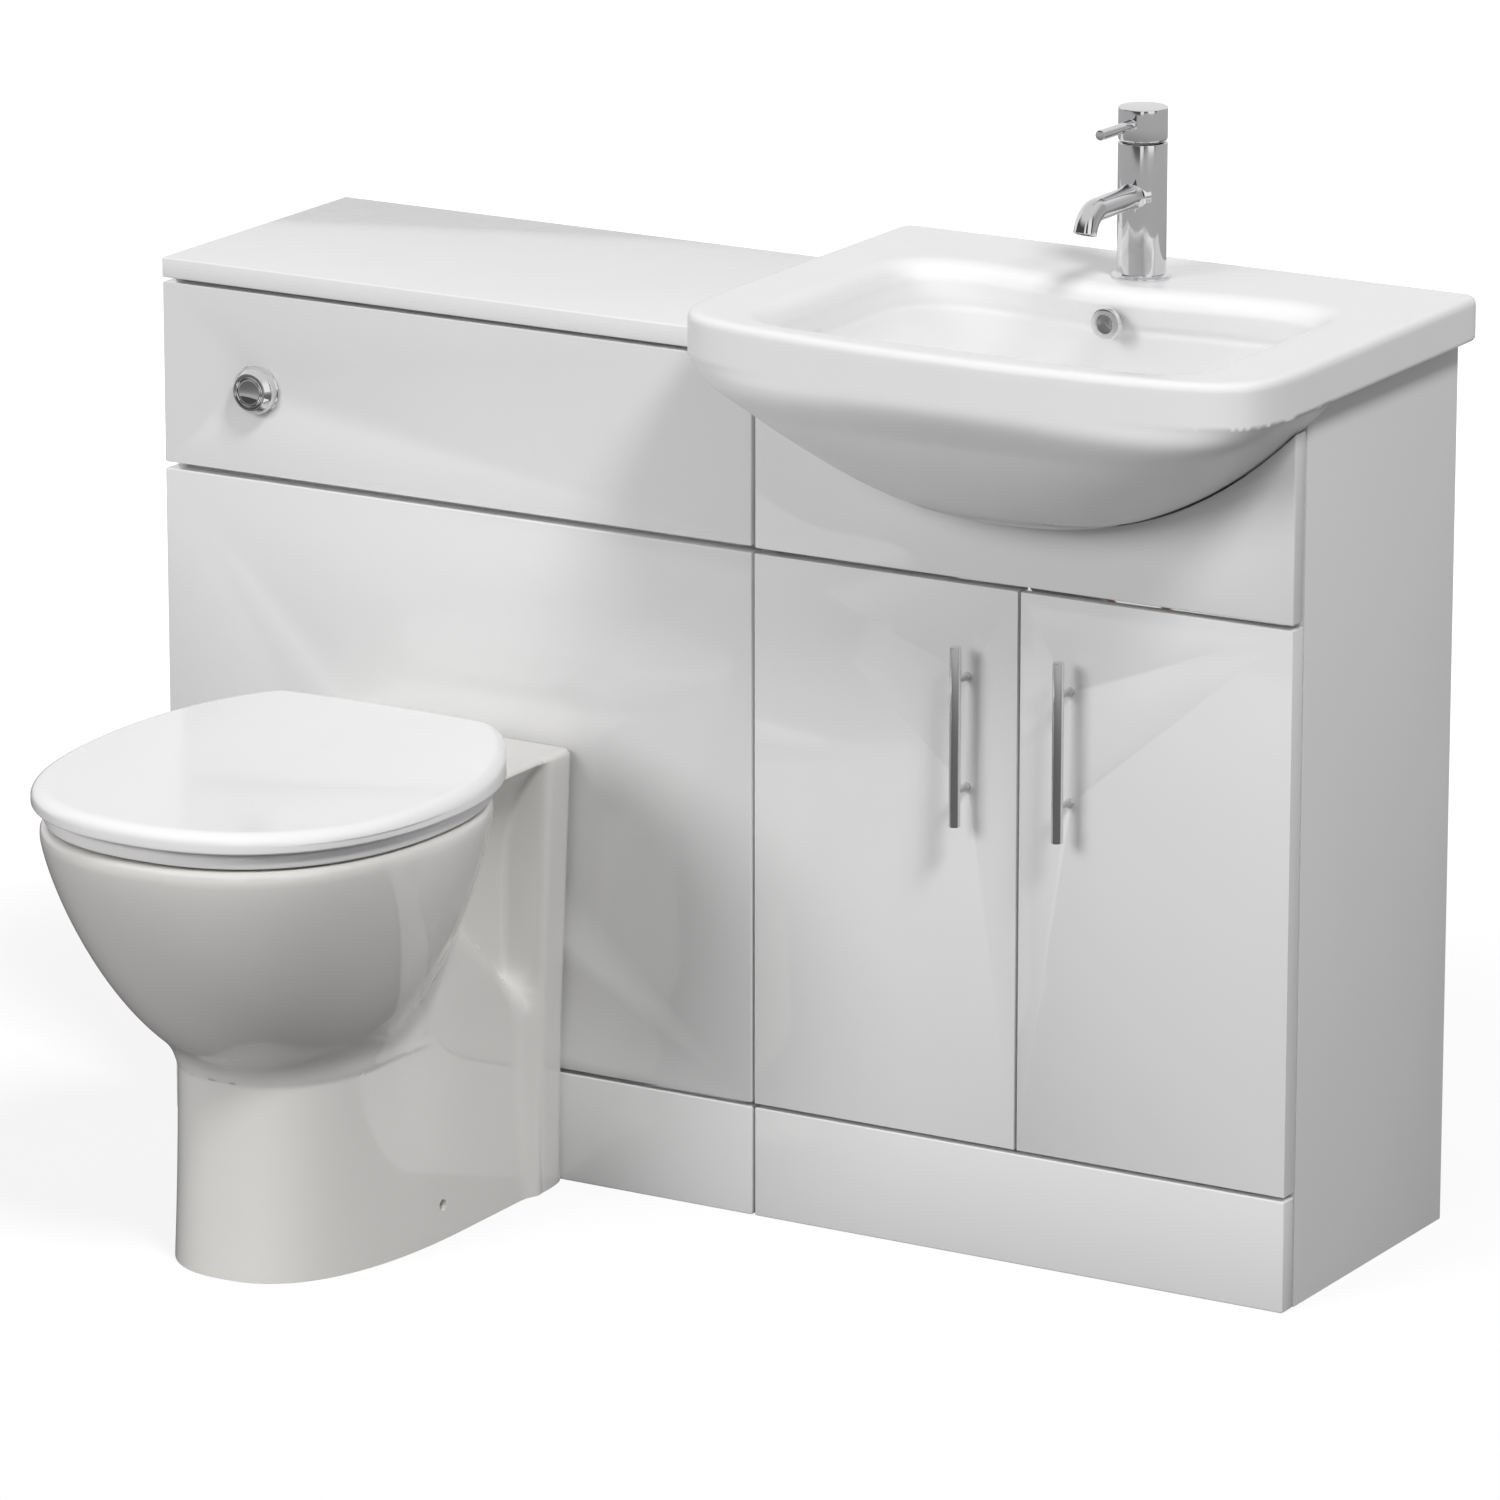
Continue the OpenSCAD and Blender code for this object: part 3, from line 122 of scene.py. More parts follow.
class Finishes(bpy.types.PropertyGroup):
    front: tint("Fronts", "Gloss fronts and worktop", (0.80, 0.80, 0.80))
    carcass: tint("Carcass", "Satin carcass boards", (0.76, 0.76, 0.76))
    ceramic: tint("Ceramic", "Glaze of the basin", (0.86, 0.86, 0.86))
    pan_ceramic: tint("Pan glaze", "Glaze of the pan", (0.75, 0.74, 0.72))
    seat: tint("Seat", "Moulded seat and lid", (0.88, 0.88, 0.88))
    chrome: tint("Chrome", "Plated fittings", (0.82, 0.82, 0.83))
    steel: tint("Steel", "Nickel-plated hinges, brackets and screws", (0.62, 0.61, 0.60))
    plastic: tint("White plastic", "Cistern, trap and valves", (0.78, 0.78, 0.76))


class Studio(bpy.types.PropertyGroup):
    key: amount("Key", "Strength of the lamp in front on the left", 1.35, 0, 20)
    top: amount("Top", "Strength of the lamp overhead on the right", 1.8, 0, 20)
    world: amount("Sky", "Strength of the even light from all round", 0.35, 0, 5)
    lens: amount("Lens", "Focal length of the camera in millimetres", 220.994, 10, 400)


GROUPS = {"unit_boards": BoardSizes, "unit_ceramic": CeramicSizes, "unit_fittings": FittingSizes,
          "unit_finishes": Finishes, "unit_studio": Studio}


# ---- node groups, and the shader groups shared by the finishes ----
FLOAT, WHOLE, VECTOR = "NodeSocketFloat", "NodeSocketInt", "NodeSocketVector"
COLOUR, MATERIAL, GEOMETRY = "NodeSocketColor", "NodeSocketMaterial", "NodeSocketGeometry"


def node_group(kind, name, inputs, outputs):
    """A new node group with its sockets, and the sockets of its two ends by name."""
    group = bpy.data.node_groups.new(name, kind)
    for label, socket_type, default in inputs:
        socket = group.interface.new_socket(label, in_out="INPUT", socket_type=socket_type)
        if default is not None:
            socket.default_value = default
    for label, socket_type in outputs:
        group.interface.new_socket(label, in_out="OUTPUT", socket_type=socket_type)
    return group, group.nodes.new("NodeGroupInput").outputs, group.nodes.new("NodeGroupOutput").inputs


def add(tree, kind, links=(), **settings):
    """Adds a node, sets its settings, and feeds its inputs from sockets or with values."""
    node = tree.nodes.new(kind)
    for key, value in settings.items():
        setattr(node, key, value)
    for key, value in dict(links).items():
        if isinstance(value, bpy.types.NodeSocket):
            tree.links.new(value, node.inputs[key])
        else:
            node.inputs[key].default_value = value
    return node


def maths(tree, operation, *values, **settings):
    return add(tree, "ShaderNodeMath", dict(enumerate(values)), operation=operation, **settings).outputs[0]


def noise(tree, place, feature, detail, **values):
    """Noise whose features have about the given size."""
    links = {"Vector": place, "Scale": maths(tree, "DIVIDE", 1.0, feature), "Detail": detail, **values}
    return add(tree, "ShaderNodeTexNoise", links).outputs["Fac"]


def carried(tree, value, start, end, low_end=0.0, high_end=1.0, kind="LINEAR"):
    """A value carried from one range to another."""
    links = {"Value": value, "From Min": start, "From Max": end, "To Min": low_end, "To Max": high_end}
    return add(tree, "ShaderNodeMapRange", links, interpolation_type=kind).outputs[0]


def blend(tree, share, first, second):
    """Two colours mixed by the share of the second."""
    return add(tree, "ShaderNodeMix", {0: share, 6: first, 7: second}, data_type="RGBA").outputs[2]


def relief_group():
    """Height of a fine moulded, glazed or lacquered skin: a slow ripple under a fine grain."""
    group, given, result = node_group(
        "ShaderNodeTree", "Surface relief",
        [("Place", VECTOR, None), ("Ripple size", FLOAT, 0.03), ("Grain size", FLOAT, 0.001),
         ("Grain share", FLOAT, 0.2)],
        [("Height", FLOAT)])
    ripple = noise(group, given["Place"], given["Ripple size"], 1.0)
    grain = noise(group, given["Place"], given["Grain size"], 2.0)
    both = add(group, "ShaderNodeMix", {0: given["Grain share"], 2: ripple, 3: grain}, data_type="FLOAT")
    group.links.new(both.outputs[0], result["Height"])
    return group


def drift_group():
    """Slow change of tone over a surface."""
    group, given, result = node_group(
        "ShaderNodeTree", "Tone drift",
        [("Place", VECTOR, None), ("Tone", COLOUR, (0.8, 0.8, 0.8, 1)),
         ("Second tone", COLOUR, (0.7, 0.7, 0.7, 1)), ("Patch size", FLOAT, 0.2)],
        [("Colour", COLOUR)])
    patch = noise(group, given["Place"], given["Patch size"], 3.0)
    share = carried(group, patch, 0.35, 0.65)
    group.links.new(blend(group, share, given["Tone"], given["Second tone"]), result["Colour"])
    return group


def handling_group():
    """Roughness of a cleaned surface: faint wiped smears and scattered fine specks."""
    group, given, result = node_group(
        "ShaderNodeTree", "Handling marks",
        [("Place", VECTOR, None), ("Clean", FLOAT, 0.05), ("Smeared", FLOAT, 0.1),
         ("Smear size", FLOAT, 0.06)],
        [("Roughness", FLOAT)])
    stretched = add(group, "ShaderNodeMapping", {"Vector": given["Place"], "Rotation": (0.3, 0.5, 0.4),
                                                 "Scale": (1.0, 1.0, 0.35)})
    smear = noise(group, stretched.outputs[0], given["Smear size"], 5.0, Roughness=0.6)
    speck = add(group, "ShaderNodeTexVoronoi", {"Vector": given["Place"], "Scale": 260.0})
    dots = carried(group, speck.outputs["Distance"], 0.0, 0.16, 0.5, 0.0)
    share = maths(group, "ADD", carried(group, smear, 0.4, 0.7), dots, use_clamp=True)
    rough = carried(group, share, 0.0, 1.0, given["Clean"], given["Smeared"])
    group.links.new(rough, result["Roughness"])
    return group


class Palette:
    """The finishes and their groups, each made once when first asked for."""
    BUILDERS = {"relief": relief_group, "drift": drift_group, "handling": handling_group}

    def __init__(self):
        self.made = {}
        self.groups = {}

    def group(self, name):
        if name not in self.groups:
            self.groups[name] = self.BUILDERS[name]()
        return self.groups[name]

    def make(self, name, tone, second, patch=0.25, rough=(0.05, 0.1), smear=0.06, ripple=0.03, grain=0.001,
             share=0.2, depth=0.00005, fixed=()):
        """A finish of two drifting tones, handling marks between two roughnesses, and a fine relief."""
        material = bpy.data.materials.new(name)
        material.use_nodes = True
        tree = material.node_tree
        shader = tree.nodes["Principled BSDF"]
        for key, value in dict(fixed).items():
            shader.inputs[key].default_value = value
        place = add(tree, "ShaderNodeTexCoord").outputs["Object"]
        tones = add(tree, "ShaderNodeGroup", node_tree=self.group("drift"))
        marks = add(tree, "ShaderNodeGroup", node_tree=self.group("handling"))
        relief = add(tree, "ShaderNodeGroup", node_tree=self.group("relief"))
        for node, values in ((tones, {"Tone": (*tone, 1), "Second tone": (*second, 1), "Patch size": patch}),
                             (marks, {"Clean": rough[0], "Smeared": rough[1], "Smear size": smear}),
                             (relief, {"Ripple size": ripple, "Grain size": grain, "Grain share": share})):
            tree.links.new(place, node.inputs["Place"])
            for key, value in values.items():
                node.inputs[key].default_value = value
        bump = add(tree, "ShaderNodeBump", {"Height": relief.outputs["Height"], "Distance": depth,
                                            "Strength": 1.0})
        tree.links.new(tones.outputs["Colour"], shader.inputs["Base Color"])
        tree.links.new(marks.outputs["Roughness"], shader.inputs["Roughness"])
        tree.links.new(bump.outputs["Normal"], shader.inputs["Normal"])
        self.made[name] = material


PALETTE = Palette()


def shade(tone, factor):
    return tuple(min(1.0, c * factor) for c in tone)


def recipes():
    """How each finish is made, from the tones that a user may change."""
    looks = bpy.context.scene.unit_finishes
    front, carcass, steel, plastic = map(tuple, (looks.front, looks.carcass, looks.steel, looks.plastic))
    glaze, pan_glaze, seat, chrome = map(tuple, (looks.ceramic, looks.pan_ceramic, looks.seat, looks.chrome))
    metal = {"Metallic": 1.0}
    return {
        "gloss_front": dict(
            tone=front, second=shade(front, 0.985), rough=(0.05, 0.085), ripple=0.02, share=0.05,
            depth=0.00003, fixed={"Coat Weight": 1.0, "Coat Roughness": 0.03}),
        "worktop": dict(
            tone=shade(front, 1.02), second=front, rough=(0.12, 0.2), ripple=0.02, share=0.1, depth=0.00003),
        "carcass_board": dict(
            tone=carcass, second=shade(carcass, 0.97), patch=0.4, rough=(0.38, 0.5), ripple=0.004,
            grain=0.0007, share=0.5, depth=0.00006),
        "basin_glaze": dict(
            tone=glaze, second=shade(glaze, 0.985), patch=0.12, rough=(0.3, 0.38), ripple=0.035, share=0.03,
            fixed={"Coat Weight": 0.15, "Coat Roughness": 0.2}),
        "pan_glaze": dict(
            tone=pan_glaze, second=shade(pan_glaze, 0.985), patch=0.12, rough=(0.05, 0.09), ripple=0.035,
            share=0.03, depth=0.00008, fixed={"Coat Weight": 0.6, "Coat Roughness": 0.04}),
        "seat_plastic": dict(
            tone=seat, second=shade(seat, 0.99), rough=(0.1, 0.15), share=0.04,
            fixed={"Coat Weight": 0.4, "Coat Roughness": 0.08}),
        "chrome": dict(
            tone=chrome, second=shade(chrome, 0.96), patch=0.05, rough=(0.03, 0.07), smear=0.02, ripple=0.02,
            share=0.05, depth=0.00001, fixed=metal),
        "nickel_steel": dict(
            tone=steel, second=shade(steel, 0.9), patch=0.02, rough=(0.22, 0.36), smear=0.01, ripple=0.002,
            grain=0.0003, share=0.6, depth=0.00003, fixed=metal),
        "white_plastic": dict(
            tone=plastic, second=shade(plastic, 0.96), patch=0.06, rough=(0.3, 0.42), ripple=0.004,
            grain=0.0006, share=0.5),
        "blue_plastic": dict(
            tone=(0.05, 0.18, 0.42), second=(0.04, 0.15, 0.36), patch=0.04, rough=(0.3, 0.4), ripple=0.004,
            share=0.4),
        "grey_plastic": dict(
            tone=(0.30, 0.31, 0.32), second=(0.25, 0.26, 0.27), patch=0.05, rough=(0.35, 0.48), ripple=0.003,
            grain=0.0005, share=0.6, depth=0.00006),
        "rubber": dict(
            tone=(0.03, 0.03, 0.03), second=(0.045, 0.045, 0.045), patch=0.02, rough=(0.6, 0.75),
            ripple=0.002, grain=0.0004, share=0.7, depth=0.00008),
        "brass": dict(
            tone=(0.72, 0.52, 0.25), second=(0.62, 0.43, 0.2), patch=0.015, rough=(0.22, 0.35), smear=0.01,
            ripple=0.002, share=0.5, depth=0.00003, fixed=metal),
        "copper": dict(
            tone=(0.80, 0.42, 0.28), second=(0.68, 0.33, 0.2), patch=0.02, rough=(0.2, 0.36), smear=0.015,
            ripple=0.003, share=0.4, depth=0.00003, fixed=metal),
    }


def finish(name):
    """The material of a slot or piece, by its plain name."""
    if name not in PALETTE.made:
        PALETTE.make(name, **recipes()[name])
    return PALETTE.made[name]


# ---- making pieces ----
BODY_OF = {"door_left": "door_left", "handle_left": "door_left", "hinge_cups_left": "door_left",
           "door_right": "door_right", "handle_right": "door_right", "hinge_cups_right": "door_right",
           "hinge_links_left": "link_left", "hinge_links_right": "link_right", "seat": "seat",
           "seat_buffers": "seat", "lid": "lid", "lid_buffers": "lid", "flush_button": "flush_button",
           "flush_piston": "flush_piston", "float_cup": "float_cup", "waste_plug": "waste_plug",
           "tap_cartridge": "tap_cartridge", "tap_lever": "tap_lever"}


def settle(name, mesh, look, body="root", nodes=(), bend=math.radians(32)):
    """Gives a finished mesh its material, smooth faces and body, and hides the CAD nodes it stands for."""
    mesh.materials.clear()
    mesh.materials.append(finish(look))
    mesh.polygons.foreach_set("use_smooth", [True] * len(mesh.polygons))
    if bend:
        mesh.set_sharp_from_angle(angle=bend)
    piece = bpy.data.objects.new(name, mesh)
    bpy.context.collection.objects.link(piece)
    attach(piece, body)
    if nodes:
        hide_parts(*nodes)
    return piece


def evaluated_mesh(name, mesh, modifiers):
    """The mesh after temporary modifiers, each given as (kind, settings)."""
    holder = bpy.data.objects.new(name, mesh)
    bpy.context.collection.objects.link(holder)
    for kind, settings in modifiers:
        modifier = holder.modifiers.new(kind.title(), kind)
        for key, value in settings.items():
            setattr(modifier, key, value)
    graph = bpy.context.evaluated_depsgraph_get()
    result = bpy.data.meshes.new_from_object(holder.evaluated_get(graph), depsgraph=graph)
    bpy.data.objects.remove(holder)
    return result


def eased(node, width, look):
    """A CAD node's own shape with its sharp edges eased, which then stands for the node."""
    shape = bmesh.new()
    shape.from_mesh(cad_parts[node].data)
    bmesh.ops.remove_doubles(shape, verts=shape.verts, dist=1e-6)
    bmesh.ops.dissolve_limit(shape, angle_limit=math.radians(0.3), verts=shape.verts, edges=shape.edges)
    mesh = bpy.data.meshes.new(node)
    shape.to_mesh(mesh)
    shape.free()
    settings = dict(width=width, segments=3, limit_method="ANGLE", angle_limit=math.radians(38),
                    use_clamp_overlap=True)
    made = evaluated_mesh(node, mesh, [("BEVEL", settings)])
    return settle(node + "_skin", made, look, BODY_OF.get(node, "root"), [node])


AXES = {"z": Matrix.Identity(4), "-z": Matrix.Rotation(math.pi, 4, "X"),
        "y": Matrix.Rotation(-math.pi / 2, 4, "X"), "-y": Matrix.Rotation(math.pi / 2, 4, "X"),
        "x": Matrix.Rotation(math.pi / 2, 4, "Y"), "-x": Matrix.Rotation(-math.pi / 2, 4, "Y")}


def rounded(corners, steps=5):
    """A profile of (radius, height) points, each corner given as (radius, height, rounding)."""
    points = []
    for i, (r, z, ease) in enumerate(corners):
        here = np.array((r, z), float)
        if not ease or i in (0, len(corners) - 1):
            points.append(here)
            continue
        back, ahead = np.array(corners[i - 1][:2]) - here, np.array(corners[i + 1][:2]) - here
        len_back, len_ahead = np.linalg.norm(back), np.linalg.norm(ahead)
        back, ahead = back / len_back, ahead / len_ahead
        half = math.acos(float(np.clip(back @ ahead, -0.9999, 0.9999))) / 2
        reach = min(ease / math.tan(half), 0.49 * len_back, 0.49 * len_ahead)
        ease = reach * math.tan(half)
        middle_way = (back + ahead) / np.linalg.norm(back + ahead)
        centre = here + middle_way * ease / math.sin(half)
        start, end = here + back * reach - centre, here + ahead * reach - centre
        swing = math.atan2(start[0] * end[1] - start[1] * end[0], start @ end)
        for k in range(steps + 1):
            a = swing * k / steps
            points.append(centre + (start[0] * math.cos(a) - start[1] * math.sin(a),
                                    start[0] * math.sin(a) + start[1] * math.cos(a)))
    return points


class Form:
    """Closed shells gathered into one piece, in millimetres about a place in the frame."""

    def __init__(self, place):
        self.place = Vector(place)
        self.shape = bmesh.new()

    def shell(self, points, faces):
        """One closed shell, its faces turned outward."""
        verts = [self.shape.verts.new(p) for p in points]
        made = [self.shape.faces.new([verts[i] for i in face]) for face in faces]
        bmesh.ops.recalc_face_normals(self.shape, faces=made)

    def loft(self, rings, closed=False):
        """Skins rings of equal length. An end ring of one point closes to it, other ends are capped."""
        points, starts, faces = [], [], []
        for ring in rings:
            starts.append((len(points), len(ring)))
            points.extend(tuple(p) for p in ring)
        pairs = list(zip(starts, starts[1:] + starts[:1])) if closed else list(zip(starts, starts[1:]))
        for (a, na), (b, nb) in pairs:
            n = max(na, nb)
            for i in range(n):
                j = (i + 1) % n
                if na == 1:
                    faces.append((a, b + j, b + i))
                elif nb == 1:
                    faces.append((a + i, a + j, b))
                else:
                    faces.append((a + i, a + j, b + j, b + i))
        if not closed:
            if starts[0][1] > 1:
                faces.append(tuple(range(starts[0][1]))[::-1])
            if starts[-1][1] > 1:
                faces.append(tuple(range(starts[-1][0], starts[-1][0] + starts[-1][1])))
        self.shell(points, faces)

    def lathe(self, profile, axis="z", at=(0, 0, 0), sides=64, closed=False, sweep=None):
        """Turns a profile of (radius, height) about an axis."""
        turn = Matrix.Translation(at) @ (sweep or AXES[axis])
        rings = []
        for r, z in profile:
            if r < 1e-4 and not closed:
                rings.append([turn @ Vector((0, 0, z))])
            else:
                rings.append([turn @ Vector((r * math.cos(t), r * math.sin(t), z))
                              for t in (2 * math.pi * k / sides for k in range(sides))])
        self.loft(rings, closed)

    def pin(self, radius, low_end, high_end, eases=(0, 0), axis="z", at=(0, 0, 0), sides=48, steps=5):
        """A round pin between two ends along an axis, each end with its own rounding."""
        corners = [(0, low_end, 0), (radius, low_end, eases[0]), (radius, high_end, eases[1]),
                   (0, high_end, 0)]
        self.lathe(rounded(corners, steps), axis, at, sides)

    def block(self, x, y, z, ease, steps=2):
        """A block with eased edges between two values along each axis. Gives its points."""
        part = bmesh.new()
        bmesh.ops.create_cube(part, size=1)
        for v in part.verts:
            v.co = Vector([a + (place + 0.5) * (b - a) for place, (a, b) in zip(v.co, (x, y, z))])
        bmesh.ops.bevel(part, geom=part.edges[:], offset=ease, segments=steps, profile=0.5, affect="EDGES",
                        clamp_overlap=True)
        mesh = bpy.data.meshes.new("part")
        part.to_mesh(mesh)
        part.free()
        first = len(self.shape.verts)
        self.shape.from_mesh(mesh)
        bpy.data.meshes.remove(mesh)
        self.shape.verts.ensure_lookup_table()
        return self.shape.verts[first:]

    def mesh(self, name):
        mesh = bpy.data.meshes.new(name)
        self.shape.to_mesh(mesh)
        self.shape.free()
        mesh.transform(Matrix.Translation(self.place) @ Matrix.Scale(MM, 4))
        return mesh

    def piece(self, name, look, body, nodes):
        settle(name, self.mesh(name), look, body, nodes)


# ---- cast ceramic: solids given by level functions, in millimetres ----
def meet(a, b, k):
    """Both solids at once, the edge between them rounded."""
    h = np.clip(0.5 - 0.5 * (b - a) / k, 0, 1)
    return b + (a - b) * h + k * h * (1 - h)


def join(a, b, k):
    """Either solid, with a fillet between them."""
    return -meet(-a, -b, k)


def cut(a, b, k):
    """The first solid less the second, with the edge rounded."""
    return meet(a, -b, k)


def squared(u, v, n):
    """Size of a squared oval through a point, 1 on the oval of half-lengths 1."""
    u, v = np.abs(u), np.abs(v)
    m = np.maximum(np.maximum(u, v), 1e-6)
    return m * ((u / m) ** n + (v / m) ** n) ** (1 / n)


def oval(x, y, centre, half, ahead, behind, n_ahead, n_behind):
    """Level of an outline with its own reach and squareness in front and behind."""
    front = y < centre
    return squared(x / half, (y - centre) / np.where(front, ahead, behind),
                   np.where(front, n_ahead, n_behind)) - 1


def near(level):
    """Turns a level function into a distance that holds near its surface."""
    def distance(x, y, z):
        h = 0.4
        v = level(x, y, z)
        slope = np.sqrt((level(x + h, y, z) - v) ** 2 + (level(x, y + h, z) - v) ** 2
                        + (level(x, y, z + h) - v) ** 2) / h
        return v / np.maximum(slope, 0.0015)
    return distance


def box_level(x, y, z, xs, ys, zs):
    """Distance to a block's faces, below zero inside it."""
    d = [np.abs(c - (a + b) / 2) - (b - a) / 2 for c, (a, b) in ((x, xs), (y, ys), (z, zs))]
    return np.maximum(np.maximum(d[0], d[1]), d[2])


def smooth(u):
    c = np.clip(u, 0, 1)
    return c * c * (3 - 2 * c)


def gradient(field, p, h=0.3):
    out = np.empty_like(p)
    for k in range(3):
        step = np.zeros(3)
        step[k] = h
        out[:, k] = field(*(p + step).T) - field(*(p - step).T)
    return out / (2 * h)


def saw_level(mesh):
    """Cuts a mesh off flat at the floor and closes the cut."""
    edit = bmesh.new()
    edit.from_mesh(mesh)
    every = edit.verts[:] + edit.edges[:] + edit.faces[:]
    cut_edges = bmesh.ops.bisect_plane(edit, geom=every, plane_co=(0, 0, 0), plane_no=(0, 0, 1),
                                       clear_inner=True)["geom_cut"]
    bmesh.ops.triangle_fill(edit, use_beauty=True, use_dissolve=False, normal=(0, 0, -1),
                            edges=[e for e in cut_edges if isinstance(e, bmesh.types.BMEdge)])
    edit.to_mesh(mesh)
    edit.free()


def surface_net(field, lowest, highest, step):
    """Points and quads of the surface where a level function passes zero, one point for each grid cell."""
    axes = [np.arange(a - step, b + 2 * step, step, dtype=np.float32) for a, b in zip(lowest, highest)]
    values = field(*np.meshgrid(*axes, indexing="ij")).astype(np.float32)
    inside = values < 0
    cells = tuple(s - 1 for s in values.shape)
    total, count = np.zeros(cells + (3,), np.float32), np.zeros(cells, np.int32)
    for axis in range(3):
        others = [k for k in range(3) if k != axis]
        for p, q in ((0, 0), (0, 1), (1, 0), (1, 1)):
            lo = [slice(0, n) for n in cells]
            lo[others[0]] = slice(p, cells[others[0]] + p)
            lo[others[1]] = slice(q, cells[others[1]] + q)
            hi = list(lo)
            hi[axis] = slice(1, cells[axis] + 1)
            a, b = values[tuple(lo)], values[tuple(hi)]
            crossed = (a < 0) != (b < 0)
            total[..., axis] += np.where(crossed, a / np.where(crossed, a - b, 1), 0)
            total[..., others[0]] += crossed * p
            total[..., others[1]] += crossed * q
            count += crossed
    active = count > 0
    index = np.full(cells, -1, np.int64)
    index[active] = np.arange(int(active.sum()))
    base = np.stack(np.nonzero(active), -1)
    points = np.array([axes[k][0] for k in range(3)]) + step * (base + total[active] / count[active][:, None])
    quads = []
    for axis, (u, v) in enumerate(((1, 2), (2, 0), (0, 1))):
        inner = [slice(1, -1)] * 3
        inner[axis] = slice(0, values.shape[axis] - 1)
        ahead = list(inner)
        ahead[axis] = slice(1, values.shape[axis])
        a, b = inside[tuple(inner)], inside[tuple(ahead)]
        offset, du, dv = np.ones(3, int), np.zeros(3, int), np.zeros(3, int)
        offset[axis], du[u], dv[v] = 0, 1, 1
        for flip, edges in ((False, a & ~b), (True, ~a & b)):
            i = np.stack(np.nonzero(edges), -1) + offset
            ring = [index[tuple(spot.T)] for spot in (i - du - dv, i - dv, i, i - du)]
            quads.append(np.stack(ring[::-1] if flip else ring, -1))
    return points.astype(float), np.concatenate(quads)


def drawn_tight(field, points, quads, step):
    """The points evened out over the surface and moved onto it."""
    neighbours = np.concatenate([quads, np.roll(quads, -1, 1)], 0).reshape(-1)
    partners = np.concatenate([np.roll(quads, -1, 1), quads], 0).reshape(-1)
    shared = np.bincount(neighbours, minlength=len(points))[:, None]
    for evened, moves in ((True, 1), (True, 1), (True, 1), (False, 3)):
        if evened:
            pull = np.stack([np.bincount(neighbours, points[partners, k], len(points)) for k in range(3)], -1)
            points += 0.6 * (pull / shared - points)
        for _ in range(moves):
            slope = gradient(field, points)
            steps = (field(*points.T) / np.maximum((slope ** 2).sum(1), 0.05))[:, None] * slope
            longest = np.linalg.norm(steps, axis=1, keepdims=True)
            points -= steps * np.minimum(1, 0.6 * step / np.maximum(longest, 1e-9))
    return points


def read_out(items, name, width, kind=float):
    """One property of all the items of a mesh, as rows of the given width."""
    values = np.empty(len(items) * width, kind)
    items.foreach_get(name, values)
    return values.reshape(-1, width)


def true_normals(field, mesh):
    """A normal for each face corner: the level function's on its skin, the face's own in the cut holes."""
    corners = read_out(mesh.vertices, "co", 3)
    slope = gradient(field, corners)
    slope /= np.maximum(np.linalg.norm(slope, axis=1, keepdims=True), 1e-9)
    on_skin = np.abs(field(*corners.T)) < 0.3
    loops = read_out(mesh.loops, "vertex_index", 1, np.int64)[:, 0]
    sizes = read_out(mesh.polygons, "loop_total", 1, np.int64)[:, 0]
    flat = np.repeat(read_out(mesh.polygons, "normal", 3), sizes, 0)
    use_true = on_skin[loops] & ((slope[loops] * flat).sum(1) > 0.75)
    return np.where(use_true[:, None], slope[loops], flat)


def cast(name, field, lowest, highest, step, holes, place, look, node, stands=False):
    """Meshes a solid's surface, draws the mesh tight onto it, cuts crisp holes and sets true normals."""
    points, quads = surface_net(field, lowest, highest, step)
    points = drawn_tight(field, points, quads, step)
    mesh = bpy.data.meshes.new(name)
    mesh.from_pydata(points.tolist(), [], quads.tolist())
    if stands:
        saw_level(mesh)
    cutters = bpy.data.meshes.new("holes")
    holes.shape.to_mesh(cutters)
    tool = bpy.data.objects.new("holes", cutters)
    bpy.context.collection.objects.link(tool)
    mesh = evaluated_mesh(name, mesh, [("BOOLEAN", dict(operation="DIFFERENCE", object=tool,
                                                        solver="MANIFOLD"))])
    bpy.data.objects.remove(tool)
    if len(mesh.polygons) < len(quads) / 2:
        raise RuntimeError(f"{name} came out empty")
    settle(name, mesh, look, "root", [node], bend=None)
    mesh.normals_split_custom_set(true_normals(field, mesh).tolist())
    mesh.transform(Matrix.Translation(place) @ Matrix.Scale(MM, 4))


# the pan's own sizes, the same as in its source
PAN_H, PAN_A, PAN_AHEAD, PAN_BEHIND, NECK_Z = 394.0, 176.0, 212.0, 206.0, 181.0
BOWL_YC, BOWL_TOP, BOWL_LOW, BOWL_SHIFT, STEM_LOW = -285.0, 384.0, 172.0, 24.0, 130.0
SPIGOT_Z, SPIGOT_OUTER, SPIGOT_BORE, FLUSH_Z, FLUSH_SEAT, FLUSH_BORE = 185.0, 51.0, 45.0, 330.0, 27.1, 20.0


def bowl_share(z):
    """How wide the bowl is at a height, as a share of its width at the top."""
    t = np.clip((BOWL_TOP - z) / (BOWL_TOP - BOWL_LOW), 0, 1)
    return 0.29 + 0.71 * (1 - t ** 1.3) ** (1 / 1.8)


def bowl_level(x, y, z):
    s = bowl_share(z)
    centre = BOWL_YC + BOWL_SHIFT * (1 - s)
    return oval(x, y, centre, PAN_A * s, PAN_AHEAD * s, PAN_BEHIND * s, 1.8 + 0.5 * s, 2.0)


